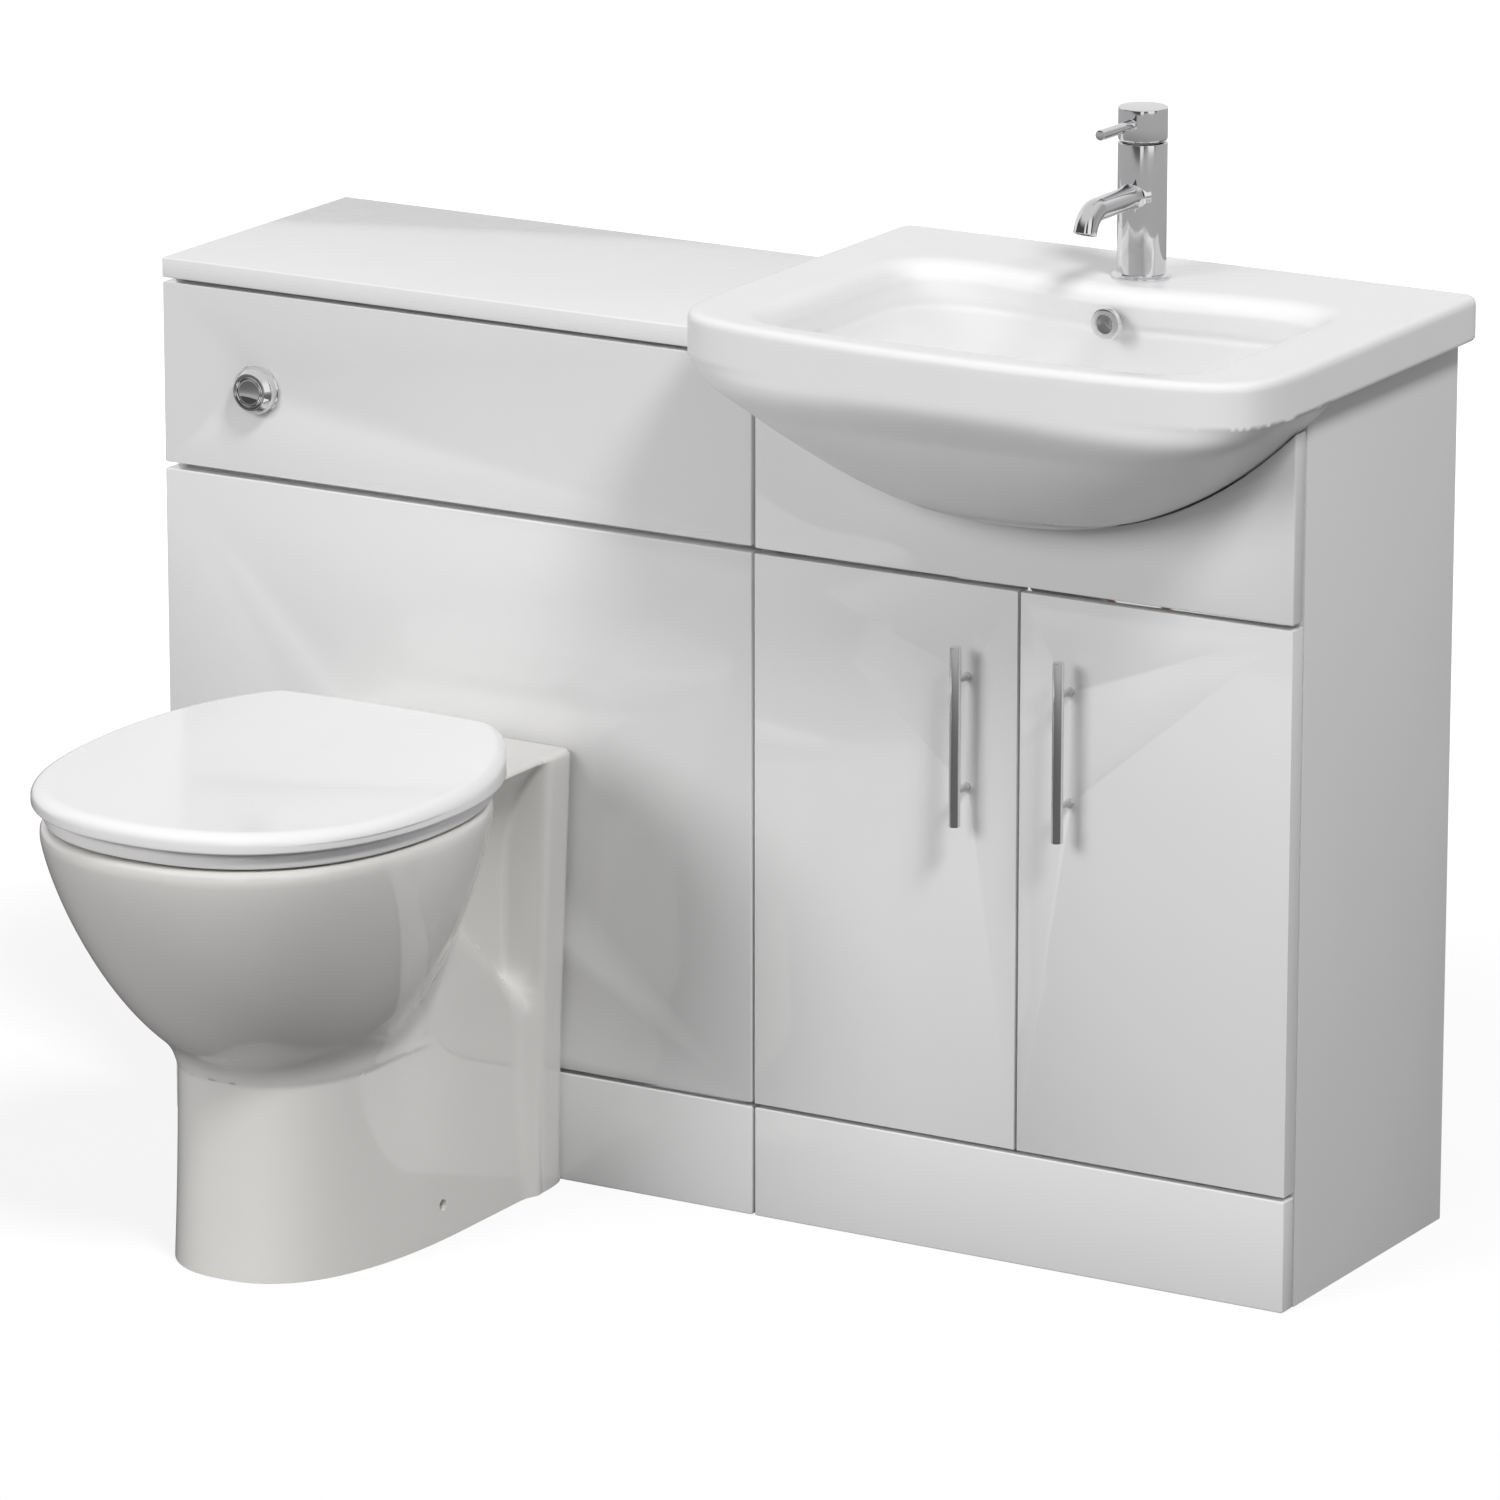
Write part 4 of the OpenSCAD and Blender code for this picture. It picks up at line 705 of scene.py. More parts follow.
def foot_level(grow):
    def level(x, y, z):
        u = 1 - (1 - np.clip(z / NECK_Z, 0, 1)) ** 1.7
        centre = -150 - 40 * u
        valley = 7 * np.exp(-((y + 232) / 45) ** 2) * smooth((z - 50) / 130)
        ahead, behind = 377 - 8 * u + grow + centre, grow - centre
        return oval(x, y, centre, 107 - 9 * u - valley + grow, ahead, behind, 2.5, 8.0)
    return level


def side_top(y):
    """Height of the shoulder on the pan's sides, which falls from the bowl towards the wall."""
    return 308 - 165 * np.clip((y + 210) / 190, 0, 1.2) ** 1.6


def column_level(x, y, z):
    return squared(x / (104 + 17.5 * np.clip(z / 382, 0, 1)), (y + 22.5) / 22.5, 9.0) - 1


def shelf_level(x, y, z):
    d = np.clip(PAN_H - z, 4, 200)
    return oval(x, y, -75.0, 76 + 45.5 * (1 - d / 200) ** 5, 75.0, 75.0, 8.0, 12.0)


def hollow_level(grow, back):
    def level(x, y, z):
        s = bowl_share(z + 12)
        b = PAN_AHEAD * s + grow
        return oval(x, y, BOWL_YC + BOWL_SHIFT * (1 - s), PAN_A * s + grow, b, b * back, 2.0, 2.2)
    return level


def pan_field(rim_round, neck_fillet, body_fillet):
    bowl, foot, column, shelf = (near(f) for f in (bowl_level, foot_level(0), column_level, shelf_level))
    inner_foot = near(foot_level(-14))
    inside, mouth = near(hollow_level(-20, 0.66)), near(hollow_level(-38, 0.66))

    def field(x, y, z):
        """Foot and column, bowl and shelf, less the foot's hollow, the bowl's and the ways to the wall."""
        lower = meet(foot(x, y, z), 0.78 * (z - side_top(y)), 30.0)
        lower = join(lower, column(x, y, z), body_fillet)
        stem = np.maximum(shelf(x, y, z), STEM_LOW - z)
        upper = join(meet(bowl(x, y, z), 185 - z, 5.0), stem, 12.0)
        body = join(lower, upper, neck_fillet * (1 + 2.4 * smooth((-y - 150) / 60)))
        body = meet(body, z - PAN_H, rim_round)
        body = meet(body, y + 0.3, 3.0)
        hollow = meet(inner_foot(x, y, z), np.maximum(z - 133, 0.78 * (z - side_top(y)) + 16), 10.0)
        hollow = np.minimum(hollow, box_level(x, y, z, (-89, 89), (-32, 5), (-40, 275)))
        body = cut(body, hollow, 3.0)
        spigot = np.hypot(x, z - SPIGOT_Z)
        body = np.minimum(body, np.maximum(np.maximum(spigot - SPIGOT_OUTER, -200 - y), y - 60))
        cavity = join(np.maximum(inside(x, y, z), np.maximum(z - 366, 210 - z)),
                      np.maximum(mouth(x, y, z), 358 - z), 5.0)
        body = cut(body, cavity, 7.0)
        body = cut(body, np.maximum(spigot - SPIGOT_BORE, -240 - y), 4.0)
        flush = np.hypot(x, z - FLUSH_Z)
        seat_of_seal = np.maximum(flush - FLUSH_SEAT, -24 - y)
        return cut(body, np.minimum(seat_of_seal, np.maximum(flush - FLUSH_BORE, -165 - y)), 2.0)
    return field


# the basin's own sizes, the same as in its source
VANITY_H, RIM_A, RIM_YC, RIM_F, BOW = 780.0, 278.0, 90.0, 204.0, 28.0
BELLY_FULL, BELLY_OUT, BOWL_RIM, BASIN_FLOOR, BELLY_LEFT = 130.0, 142.0, 814.0, 664.0, -256.7
BASIN_BASE, POCKETS = 651.0, ((180, 282), (770, 804))


def rim_size(x, y):
    """Size of the rim's outline through a point: square to the wall behind, rounded and bowed in front."""
    ahead = RIM_YC - y
    bow = BOW * np.maximum(0, 1 - (x / RIM_A) ** 2) / RIM_F
    reach = np.where(ahead > 0, ahead / (1 + bow), ahead)
    return squared(x / RIM_A, reach / RIM_F, np.where(ahead > 0, 9.0, 40.0))


def belly_level(x, y, z):
    d = np.clip(VANITY_H - z, 0, BELLY_FULL - 0.6)
    s = (1 - d / BELLY_FULL) ** (1 / 2.4)
    w = smooth(d / 45)
    n = 2.3 + 3.2 * (1 - d / BELLY_FULL) ** 2
    deep = squared(x / (RIM_A * s), y / np.where(y < 0, BELLY_OUT * s, 60.0), np.where(y < 0, n, 12.0))
    return w * deep + (1 - w) * rim_size(x / s, y) - 1


def bowl_shape(grow, lift):
    def level(x, y, z):
        zz = np.maximum(z + lift, BASIN_FLOOR)
        u = np.clip((BOWL_RIM - zz) / 150, 0, 1)
        s = 0.25 + 0.75 * (1 - u ** 2.6) ** (1 / 2.6)
        centre = 40 + 45 * u ** 1.5
        n = 2.6 + 5.4 * (1 - u) ** 1.5
        a, b = 203.5 * s + grow, 137.5 * s + grow
        behind = y - centre
        stretch = 1 - 24 * np.exp(-(x / 100) ** 2) / b * (1 - u)
        return squared(x / a, np.where(behind > 0, behind / stretch, behind) / b, n) - 1
    return level


def basin_field(rim_round):
    rim = near(lambda x, y, z: rim_size(x, y) - 1 + 0 * z)
    belly, bowl, under = near(belly_level), near(bowl_shape(0, 0)), near(bowl_shape(13, 13))

    def field(x, y, z):
        """Rim slab, bowed front and shell with the overflow's way, less the bowl and the pockets."""
        slab = meet(meet(rim(x, y, z), z - RIM_TOP, rim_round), VANITY_H - z, 3.0)
        front = np.maximum(belly(x, y, z), z - VANITY_H - 20)
        front = meet(front, np.maximum(y - 20, BASIN_BASE + 0.5 - z), 3.0)
        front = np.maximum(front, np.minimum(y + 0.3, np.maximum(BELLY_LEFT - x, z - VANITY_H)))
        shell = np.maximum(np.maximum(under(x, y, z), BASIN_BASE - z), np.maximum(z - VANITY_H - 4, 19 - y))
        for ys, top in (((85, 175), 684), ((155, 175), 782)):
            shell = np.minimum(shell, box_level(x, y, z, (-10, 10), ys, (BASIN_BASE, top)))
        body = join(np.minimum(slab, front), shell, 8.0)
        bowl_hollow = meet(bowl(x, y, z), BASIN_FLOOR - z, 4.0)
        body = cut(body, bowl_hollow, rim_round * (1 + 1.6 * smooth((z - RIM_TOP + 26) / 16)))
        pockets = np.minimum(box_level(x, y, z, (-60, 60), *POCKETS),
                             box_level(x, y, z, (-150, 150), (205, 282), POCKETS[1]))
        return cut(body, pockets, 4.0)
    return field


# ---- repeated pieces grown by geometry nodes ----
def growth(name, inputs):
    sockets = [("Points", GEOMETRY, None), *inputs, ("Finish", MATERIAL, None)]
    return node_group("GeometryNodeTree", name, sockets, [("Result", GEOMETRY)])


def close_growth(tree, given, result, shape):
    solid = add(tree, "GeometryNodeRealizeInstances", {"Geometry": shape}).outputs[0]
    finished = add(tree, "GeometryNodeSetMaterial", {"Geometry": solid, "Material": given["Finish"]})
    tree.links.new(finished.outputs[0], result["Result"])
    return tree


def spread_over(tree, points, shape, **links):
    """Copies of a shape on points."""
    links = {"Points": points, "Instance": shape, **links}
    return add(tree, "GeometryNodeInstanceOnPoints", links).outputs[0]


def screws_tree():
    """A cross-recessed screw head on each point, facing along an axis."""
    tree, given, result = growth("Screw heads", [("Radius", FLOAT, 0.0035), ("Rise", FLOAT, 0.0016),
                                                 ("Facing", VECTOR, (0, 0, 1))])
    disc = add(tree, "GeometryNodeMeshCylinder", {"Vertices": 24, "Side Segments": 1,
                                                  "Radius": given["Radius"], "Depth": given["Rise"]})
    arm, slit = (maths(tree, "MULTIPLY", given["Radius"], share) for share in (1.2, 0.26))
    lift = add(tree, "ShaderNodeCombineXYZ", {"Z": given["Rise"]}).outputs[0]
    cross = add(tree, "GeometryNodeJoinGeometry")
    for x, y in ((arm, slit), (slit, arm)):
        bar = add(tree, "ShaderNodeCombineXYZ", {"X": x, "Y": y, "Z": given["Rise"]})
        cutter = add(tree, "GeometryNodeMeshCube", {"Size": bar.outputs[0]})
        raised = add(tree, "GeometryNodeTransform", {"Geometry": cutter.outputs["Mesh"], "Translation": lift})
        tree.links.new(raised.outputs[0], cross.inputs[0])
    lowered = add(tree, "ShaderNodeVectorMath", {0: lift, 1: (0, 0, -0.45)}, operation="MULTIPLY")
    set_in = add(tree, "GeometryNodeTransform", {"Geometry": cross.outputs[0],
                                                 "Translation": lowered.outputs[0]})
    recessed = add(tree, "GeometryNodeMeshBoolean", {"Mesh 1": disc.outputs["Mesh"],
                                                     "Mesh 2": set_in.outputs[0]}, operation="DIFFERENCE")
    facing = add(tree, "FunctionNodeAlignRotationToVector", {"Vector": given["Facing"]}, axis="Z")
    spread = spread_over(tree, given["Points"], recessed.outputs[0], Rotation=facing.outputs[0])
    return close_growth(tree, given, result, spread)


def ribs_tree():
    """A ring of grip ribs round an upright axis at each point."""
    tree, given, result = growth("Grip ribs", [("Count", WHOLE, 24), ("Radius", FLOAT, 0.03),
                                               ("Rib", VECTOR, (0.002, 0.002, 0.01))])
    circle = add(tree, "GeometryNodeMeshCircle", {"Vertices": given["Count"], "Radius": given["Radius"]})
    rib = add(tree, "GeometryNodeMeshCube", {"Size": given["Rib"]})
    place = add(tree, "GeometryNodeInputPosition").outputs[0]
    outward = add(tree, "FunctionNodeAlignRotationToVector", {"Vector": place}, axis="X")
    ring = spread_over(tree, circle.outputs[0], rib.outputs["Mesh"], Rotation=outward.outputs[0])
    return close_growth(tree, given, result, spread_over(tree, given["Points"], ring))


def threads_tree():
    """Thread turns up an upright axis from each point."""
    tree, given, result = growth("Thread turns", [("Turns", WHOLE, 10), ("Pitch", FLOAT, 0.0018),
                                                  ("Radius", FLOAT, 0.01), ("Crest", FLOAT, 0.0006)])
    circle = add(tree, "GeometryNodeCurvePrimitiveCircle", {"Resolution": 48, "Radius": given["Radius"]})
    crest = add(tree, "GeometryNodeCurvePrimitiveCircle", {"Resolution": 6, "Radius": given["Crest"]})
    turn = add(tree, "GeometryNodeCurveToMesh", {"Curve": circle.outputs["Curve"],
                                                 "Profile Curve": crest.outputs["Curve"]})
    rise = add(tree, "ShaderNodeCombineXYZ", {"Z": given["Pitch"]})
    line = add(tree, "GeometryNodeMeshLine", {"Count": given["Turns"], "Offset": rise.outputs[0]},
               mode="OFFSET")
    stack = spread_over(tree, line.outputs[0], turn.outputs[0])
    return close_growth(tree, given, result, spread_over(tree, given["Points"], stack))


def hose_tree():
    """A round hose along a route of points."""
    tree, given, result = growth("Hose", [("Radius", FLOAT, 0.003), ("Step", FLOAT, 0.004)])
    route = add(tree, "GeometryNodeMeshToCurve", {"Mesh": given["Points"]})
    soft = add(tree, "GeometryNodeCurveSplineType", {"Curve": route.outputs[0]}, spline_type="CATMULL_ROM")
    even = add(tree, "GeometryNodeResampleCurve", {"Curve": soft.outputs[0], "Length": given["Step"]},
               mode="LENGTH")
    ring = add(tree, "GeometryNodeCurvePrimitiveCircle", {"Resolution": 20, "Radius": given["Radius"]})
    tube = add(tree, "GeometryNodeCurveToMesh", {"Curve": even.outputs[0],
                                                 "Profile Curve": ring.outputs["Curve"], "Fill Caps": True})
    return close_growth(tree, given, result, tube.outputs[0])


TREES = {"screws": screws_tree, "ribs": ribs_tree, "threads": threads_tree, "hose": hose_tree}
GROWN = {}


def grown(name, kind, points, look, body="root", nodes=(), joined=False, **values):
    """Runs a growth tree on points in the frame and settles the plain mesh that it gives."""
    if kind not in GROWN:
        GROWN[kind] = TREES[kind]()
    tree = GROWN[kind]
    seeds = bpy.data.meshes.new(name)
    edges = [(i, i + 1) for i in range(len(points) - 1)] if joined else []
    seeds.from_pydata([tuple(p) for p in points], edges, [])
    sockets = {item.name: item.identifier for item in tree.interface.items_tree if item.in_out == "INPUT"}
    holder = bpy.data.objects.new(name, seeds)
    bpy.context.collection.objects.link(holder)
    modifier = holder.modifiers.new("Growth", "NODES")
    modifier.node_group = tree
    for label, value in values.items():
        modifier[sockets[label]] = value
    modifier[sockets["Finish"]] = finish(look)
    graph = bpy.context.evaluated_depsgraph_get()
    mesh = bpy.data.meshes.new_from_object(holder.evaluated_get(graph), depsgraph=graph)
    bpy.data.objects.remove(holder)
    if not mesh.polygons:
        raise RuntimeError(f"{name} came out empty")
    settle(name, mesh, look, body, nodes)


def screws(name, spots, facing, body="root", radius=0.003, rise=0.0014):
    grown(name, "screws", spots, "nickel_steel", body, Radius=radius, Rise=rise, Facing=facing)


# ---- operators, one for each piece or group of like pieces ----
class UNIT_OT_boards(bpy.types.Operator):
    """Doors, panels, worktop and carcass boards with eased edges"""
    bl_idname = "bathroom_unit.boards"
    bl_label = "Boards and fronts"

    def execute(self, context):
        sizes = context.scene.unit_boards
        for node in ("wc_flush_panel", "wc_lower_panel", "wc_plinth", "vanity_fascia", "vanity_plinth",
                     "door_left", "door_right"):
            eased(node, sizes.front_edge, "gloss_front")
        eased("wc_worktop", sizes.top_edge, "worktop")
        for node in ("wc_side_left", "wc_side_right", "wc_front_rails", "wc_rear_rail", "vanity_side_left",
                     "vanity_side_right", "vanity_base", "vanity_front_rail", "vanity_rear_rail"):
            eased(node, sizes.carcass_edge, "carcass_board")
        return {"FINISHED"}


# places on the pan's shelf: the hinge's axis, and its posts and knuckles left and right of the middle
HINGE_Y, POST_X, LID_PIN_X, SEAT_PIN_X = -123.0, 78.0, 98.0, 58.0
LID_BUFFERS, SEAT_BUFFERS = ((128.0, -230.0),), ((140.0, -200.0), (132.0, -400.0))
# the blends of the level functions round an edge a little less than their width
BLEND = 1.2


class UNIT_OT_pan(bpy.types.Operator):
    """The cast pan, with its screw and fixing holes"""
    bl_idname = "bathroom_unit.pan"
    bl_label = "Pan"

    def execute(self, context):
        sizes = context.scene.unit_ceramic
        holes = Form((0, 0, 0))
        screw_hole = [(0, 60), (4, 60), (4, 99), (5.6, 106), (5.6, 130), (0, 130)]
        for s, axis in ((-1, "-x"), (1, "x")):
            holes.lathe(screw_hole, axis, (0, -190, 30), 24)
            holes.pin(8, PAN_H - 40, PAN_H + 5, at=(s * POST_X, HINGE_Y, 0), sides=24)
        blends = [width / MM * BLEND for width in (sizes.pan_rim_round, sizes.neck_fillet, sizes.body_fillet)]
        cast("pan_casting", pan_field(*blends), (-178, -500, -9), (178, 62, 396), sizes.net / MM, holes, PAN,
             "pan_glaze", "pan", stands=True)
        return {"FINISHED"}


LID_YC, LID_A, LID_B, LID_BACK, LID_TOP = -284.0, 184.0, 218.0, -112.0, PAN_H + 49
LID_FALL, LID_CAMBER = 13.0 / 390.0, 8.0
SEAT_Z, SEAT_TOP, LID_Z, HINGE_Z = PAN_H + 2, PAN_H + 16, PAN_H + 17.5, PAN_H + 14.5
OUTLINE_TURNS = np.arange(240) * 2 * math.pi / 240


def cut_oval(half, reach, back, ease):
    """Outline of an oval cut straight across the back with rounded corners, about the lid's middle."""
    c, s = np.cos(OUTLINE_TURNS), np.sin(OUTLINE_TURNS)
    near_r, far_r = np.zeros(len(c)), np.full(len(c), 400.0)
    for _ in range(40):
        r = (near_r + far_r) / 2
        x, y = r * c, r * s
        level = (squared(x / half, y / reach, np.where(y < 0, 2.3, 2.05)) - 1) * min(half, reach)
        level = meet(level, LID_YC + y - back, ease)
        near_r, far_r = np.where(level < 0, r, near_r), np.where(level < 0, far_r, r)
    return np.stack([near_r * c, LID_YC + near_r * s], -1)


def quarter(steps):
    """Sine, and one less the cosine, step by step through a quarter turn."""
    for k in range(steps + 1):
        a = math.pi / 2 * k / steps
        yield math.sin(a), 1 - math.cos(a)


class UNIT_OT_seat(bpy.types.Operator):
    """Seat ring, lid, buffers and hinge posts"""
    bl_idname = "bathroom_unit.seat"
    bl_label = "Seat and lid"

    def lid(self):
        """A hollow lid that falls towards the front and towards its sides."""
        def slope(x, y):
            return LID_FALL * (y - LID_BACK) - LID_CAMBER * abs(x / LID_A) ** 3

        def over(inset, z, sloped, spread=1.0, crown=0.0):
            outline = cut_oval(LID_A - inset, LID_B - inset, LID_BACK - inset * 0.35, max(8.0 - inset, 3.0))
            outline = [(x * spread, LID_YC + (y - LID_YC) * spread) for x, y in outline]
            return [(x, y, z + (slope(x, y) if sloped else 0) + crown) for x, y in outline]

        def under(inset, z, sloped, spread=1.0):
            outline = cut_oval(LID_A - inset, LID_B - inset, LID_BACK - inset * 0.8, max(12.0 - inset, 4.0))
            return [(x * spread, LID_YC + (y - LID_YC) * spread, z + (slope(x * spread, y) if sloped else 0))
                    for x, y in outline]

        skin, edge, ceiling = LID_TOP - 1.2, 11.0, LID_TOP - 5
        outer = [over(2.0 - 2.0 * rise, LID_Z + 2.0 * run, False) for rise, run in quarter(6)]
        outer.append(over(0.0, LID_Z + 7, False))
        outer += [over(edge * run, skin - edge * 0.85 * (1 - rise), True) for rise, run in quarter(10)]
        outer += [over(edge, skin, True, spread, 1.2 * (1 - spread ** 2))
                  for spread in (0.985, 0.96, 0.9, 0.8, 0.65, 0.5, 0.35, 0.2, 0.08)]
        outer.append([(0, LID_YC, LID_TOP + slope(0, LID_YC))])
        inner = [under(6.0, LID_Z, False)]
        inner += [under(7 + 6 * run, LID_TOP - 12 + 7 * rise, True) for rise, run in quarter(4)]
        inner += [under(13, ceiling, True, spread) for spread in (0.95, 0.8, 0.6, 0.4, 0.2)]
        inner.append([(0, LID_YC, ceiling + slope(0, LID_YC))])
        form = Form(PAN)
        form.loft(outer[::-1] + inner)
        for s in (-1, 1):
            x = s * LID_PIN_X
            form.pin(7, -5.5, 5.5, (1, 1), "x", (x, HINGE_Y, HINGE_Z), 40)
            form.block((x - 5.5, x + 5.5), (HINGE_Y - 7, HINGE_Y + 7), (HINGE_Z, LID_TOP - 8), 1.0)
            form.block((x - 5.5, x + 5.5), (HINGE_Y + 3, HINGE_Y + 10.6), (HINGE_Z - 3, LID_Z + 4), 1.0)
            for buffer_x, buffer_y in LID_BUFFERS:
                form.pin(6, SEAT_TOP + 4, LID_TOP - 10, (0.5, 0), "z", (s * buffer_x, buffer_y, 0), 24)
        form.block((-51.5, 51.5), (HINGE_Y + 7.6, HINGE_Y + 10.8), (HINGE_Z - 6, LID_Z + 4), 0.8)
        form.piece("lid_moulding", "seat_plastic", "lid", ["lid"])

    def ring(self):
        """The seat's ring, skinned round from its lower outer edge over the top to the opening."""
        def outline(grow):
            return cut_oval(LID_A - 10 + grow, LID_B - 10 + grow, -132.0 + grow * 0.5, 16.0)

        c, s = np.cos(OUTLINE_TURNS), np.sin(OUTLINE_TURNS)
        reach = (np.abs(c) ** 2.1 + np.abs(s) ** 2.1) ** (-1 / 2.1)

        def opening(half):
            return np.stack([half * c * reach, -296 + np.where(s < 0, half + 46, half + 16) * s * reach], -1)

        section = [(outline(-3 + 3 * rise), SEAT_Z + 3 * run) for rise, run in quarter(5)]
        section += [(outline(-5 * run), SEAT_TOP - 5 + 5 * rise) for rise, run in quarter(5)]
        high_out, high_in = outline(-7), opening(114)
        section += [(high_out * (1 - t) + high_in * t, SEAT_TOP + 0.2 - 0.8 * (2 * t - 1) ** 2)
                    for t in (0.1, 0.3, 0.5, 0.7, 0.9)]
        section += [(opening(111 - 6 * rise), SEAT_TOP - 0.8 - 6 * run) for rise, run in quarter(5)]
        section += [(opening(102), SEAT_Z + 2), (opening(104), SEAT_Z + 0.2)]
        low_in, low_out = opening(108), outline(-8)
        section += [(low_in * (1 - t) + low_out * t, SEAT_Z) for t in (0.05, 0.5, 0.95)]
        form = Form(PAN)
        form.loft([[(x, y, z) for x, y in line] for line, z in section], closed=True)
        for x in (-SEAT_PIN_X, SEAT_PIN_X):
            form.pin(7, -5.5, 5.5, (1, 1), "x", (x, HINGE_Y, HINGE_Z), 40)
            form.block((x - 5.5, x + 5.5), (HINGE_Y - 16, HINGE_Y), (SEAT_Z + 1, SEAT_TOP - 2), 0.8)
        form.piece("seat_moulding", "seat_plastic", "seat", ["seat"])

    def execute(self, context):
        self.lid()
        self.ring()
        for node, spots, base, top in (("seat_buffers", SEAT_BUFFERS, PAN_H, SEAT_Z + 0.6),
                                       ("lid_buffers", LID_BUFFERS, SEAT_TOP + 0.1, SEAT_TOP + 4.4)):
            pad = rounded([(0, base, 0), (6.4, base, 0.6), (8, base + 1.4, 0.4), (8, top, 0), (0, top, 0)])
            form = Form(PAN)
            for s in (-1, 1):
                for x, y in spots:
                    form.lathe(pad, "z", (s * x, y, 0), 32)
            form.piece(node + "_pads", "white_plastic", BODY_OF[node], [node])
        form = Form(PAN)
        for x in (-POST_X, POST_X):
            form.pin(11, PAN_H, PAN_H + 1.8, (0.3, 0.8), "z", (x, HINGE_Y, 0), 48)
            form.block((x - 13, x + 13), (HINGE_Y - 7, HINGE_Y + 1.5), (PAN_H + 1.5, HINGE_Z), 1.2, 3)
            form.pin(7, -14, 14, (0.8, 0.8), "x", (x, HINGE_Y, HINGE_Z), 48)
            form.pin(4, -26, 26, (0.5, 0.5), "x", (x, HINGE_Y, HINGE_Z), 32)
        form.piece("seat_hinge_castings", "chrome", "root", ["seat_hinge_posts"])
        eased("seat_fixings", 0.0005, "grey_plastic")
        return {"FINISHED"}


class UNIT_OT_flush(bpy.types.Operator):
    """Push button and bezel, air pump and hose, cistern, valves and flush pipe"""
    bl_idname = "bathroom_unit.flush"
    bl_label = "Flush and cistern"

    def button(self):
        form = Form(BUTTON)
        bezel = [(12.3, -20, 0.3), (16, -20, 0.3), (16, 0.2, 0), (21.9, 0.2, 0.2), (22.3, 0.8, 0.5),
                 (21.3, 1.8, 0.6), (20.9, 8.2, 7.5), (16.0, 14.0, 3.2), (14.2, 13.4, 0.5), (13.4, 13.0, 0.3),
                 (12.9, 13.6, 0.3), (12.3, 13.2, 0.3)]
        form.lathe(rounded(bezel, 8), "-y", sides=128, closed=True)
        form.piece("flush_bezel_turned", "chrome", "root", ["flush_bezel"])
        form = Form(BUTTON)
        ball, sunk = 40.0, 12.0
        dish = [(r, sunk + ball - math.sqrt(ball ** 2 - r ** 2)) for r in np.linspace(0, 10.2, 12)]
        stem = [(0, -28), (14.9, -28), (14.9, -22), (8, -22), (8, -12), (12, -12)]
        rim = rounded([(12, -12, 0), (12, 12.9, 0.5), (11.2, 13.3, 0.4), (10.2, dish[-1][1], 0)], 4)
        form.lathe(stem + rim[1:] + dish[::-1], "-y", sides=96)
        form.piece("flush_button_turned", "chrome", "flush_button", ["flush_button"])

    def hose(self):
        """From the pump's spout behind the button, over the cistern's lid and down to the actuator."""
        source = Vector((BUTTON.x, high("flush_pump").y, BUTTON.z))
        drop = Vector((PAN.x, middle("flush_valve").y, high("flush_valve").z))
        lid_z = high("cistern_lid").z
        route = [source + Vector((0, along, 0)) for along in (-0.006, 0.011, 0.022)]
        route += [Vector((BUTTON.x + 0.004, FRONT_Y + 0.130, BUTTON.z + 0.008)),
                  Vector((BUTTON.x + 0.018, FRONT_Y + 0.160, lid_z + 0.008)),
                  Vector((BUTTON.x + 0.056, FRONT_Y + 0.184, lid_z + 0.020)),
                  Vector((BUTTON.x + 0.120, drop.y, lid_z + 0.024)),
                  Vector((PAN.x - 0.026, drop.y, lid_z + 0.020)),
                  Vector((PAN.x - 0.005, drop.y, lid_z + 0.010))]
        route += [drop + Vector((0, 0, above)) for above in (0.044, 0.01, -0.006)]
        grown("flush_air_hose", "hose", route, "grey_plastic", nodes=["flush_air_tube"], joined=True,
              Radius=0.0032)

    def execute(self, context):
        ease = context.scene.unit_fittings.moulded_edge
        self.button()
        for node, look in (("cistern_tank", "white_plastic"), ("cistern_lid", "white_plastic"),
                           ("fill_valve", "white_plastic"), ("flush_valve", "white_plastic"),
                           ("float_cup", "grey_plastic"), ("flush_piston", "blue_plastic"),
                           ("flush_pipe", "white_plastic"), ("flush_pipe_seal", "rubber"),
                           ("flush_pump", "grey_plastic"), ("pan_connector", "grey_plastic")):
            eased(node, ease, look)
        self.hose()
        tail = Vector((middle("float_cup").x, middle("float_cup").y, low("fill_valve").z + 0.001))
        grown("fill_valve_thread", "threads", [tail], "white_plastic", Turns=10, Pitch=0.0018, Radius=0.0101)
        coupling = Vector((PAN.x, middle("flush_valve").y, high("flush_pipe").z - 0.011))
        grown("flush_pipe_ribs", "ribs", [coupling], "white_plastic", Count=28, Radius=0.028,
              Rib=(0.0022, 0.0026, 0.018))
        return {"FINISHED"}


# the basin's holes: the tap's and the waste's way back from the fronts, the overflow's height
TAP_Y, WASTE_Y, OVERFLOW_Z = 209.0, 85.0, 789.0


class UNIT_OT_basin(bpy.types.Operator):
    """The cast basin, with its tap, waste and overflow holes"""
    bl_idname = "bathroom_unit.basin"
    bl_label = "Basin"

    def execute(self, context):
        sizes = context.scene.unit_ceramic
        holes = Form((0, 0, 0))
        holes.pin(17.5, 770, 830, at=(0, TAP_Y, 0), sides=48)
        holes.pin(23, 630, 670, at=(0, WASTE_Y, 0), sides=48)
        holes.pin(9, 135, 165, axis="y", at=(0, 0, OVERFLOW_Z), sides=32)
        cast("basin_casting", basin_field(sizes.rim_round / MM * BLEND), (-282, -146, 646), (282, 297, 822),
             sizes.net / MM, holes, BASIN, "basin_glaze", "basin")
        return {"FINISHED"}


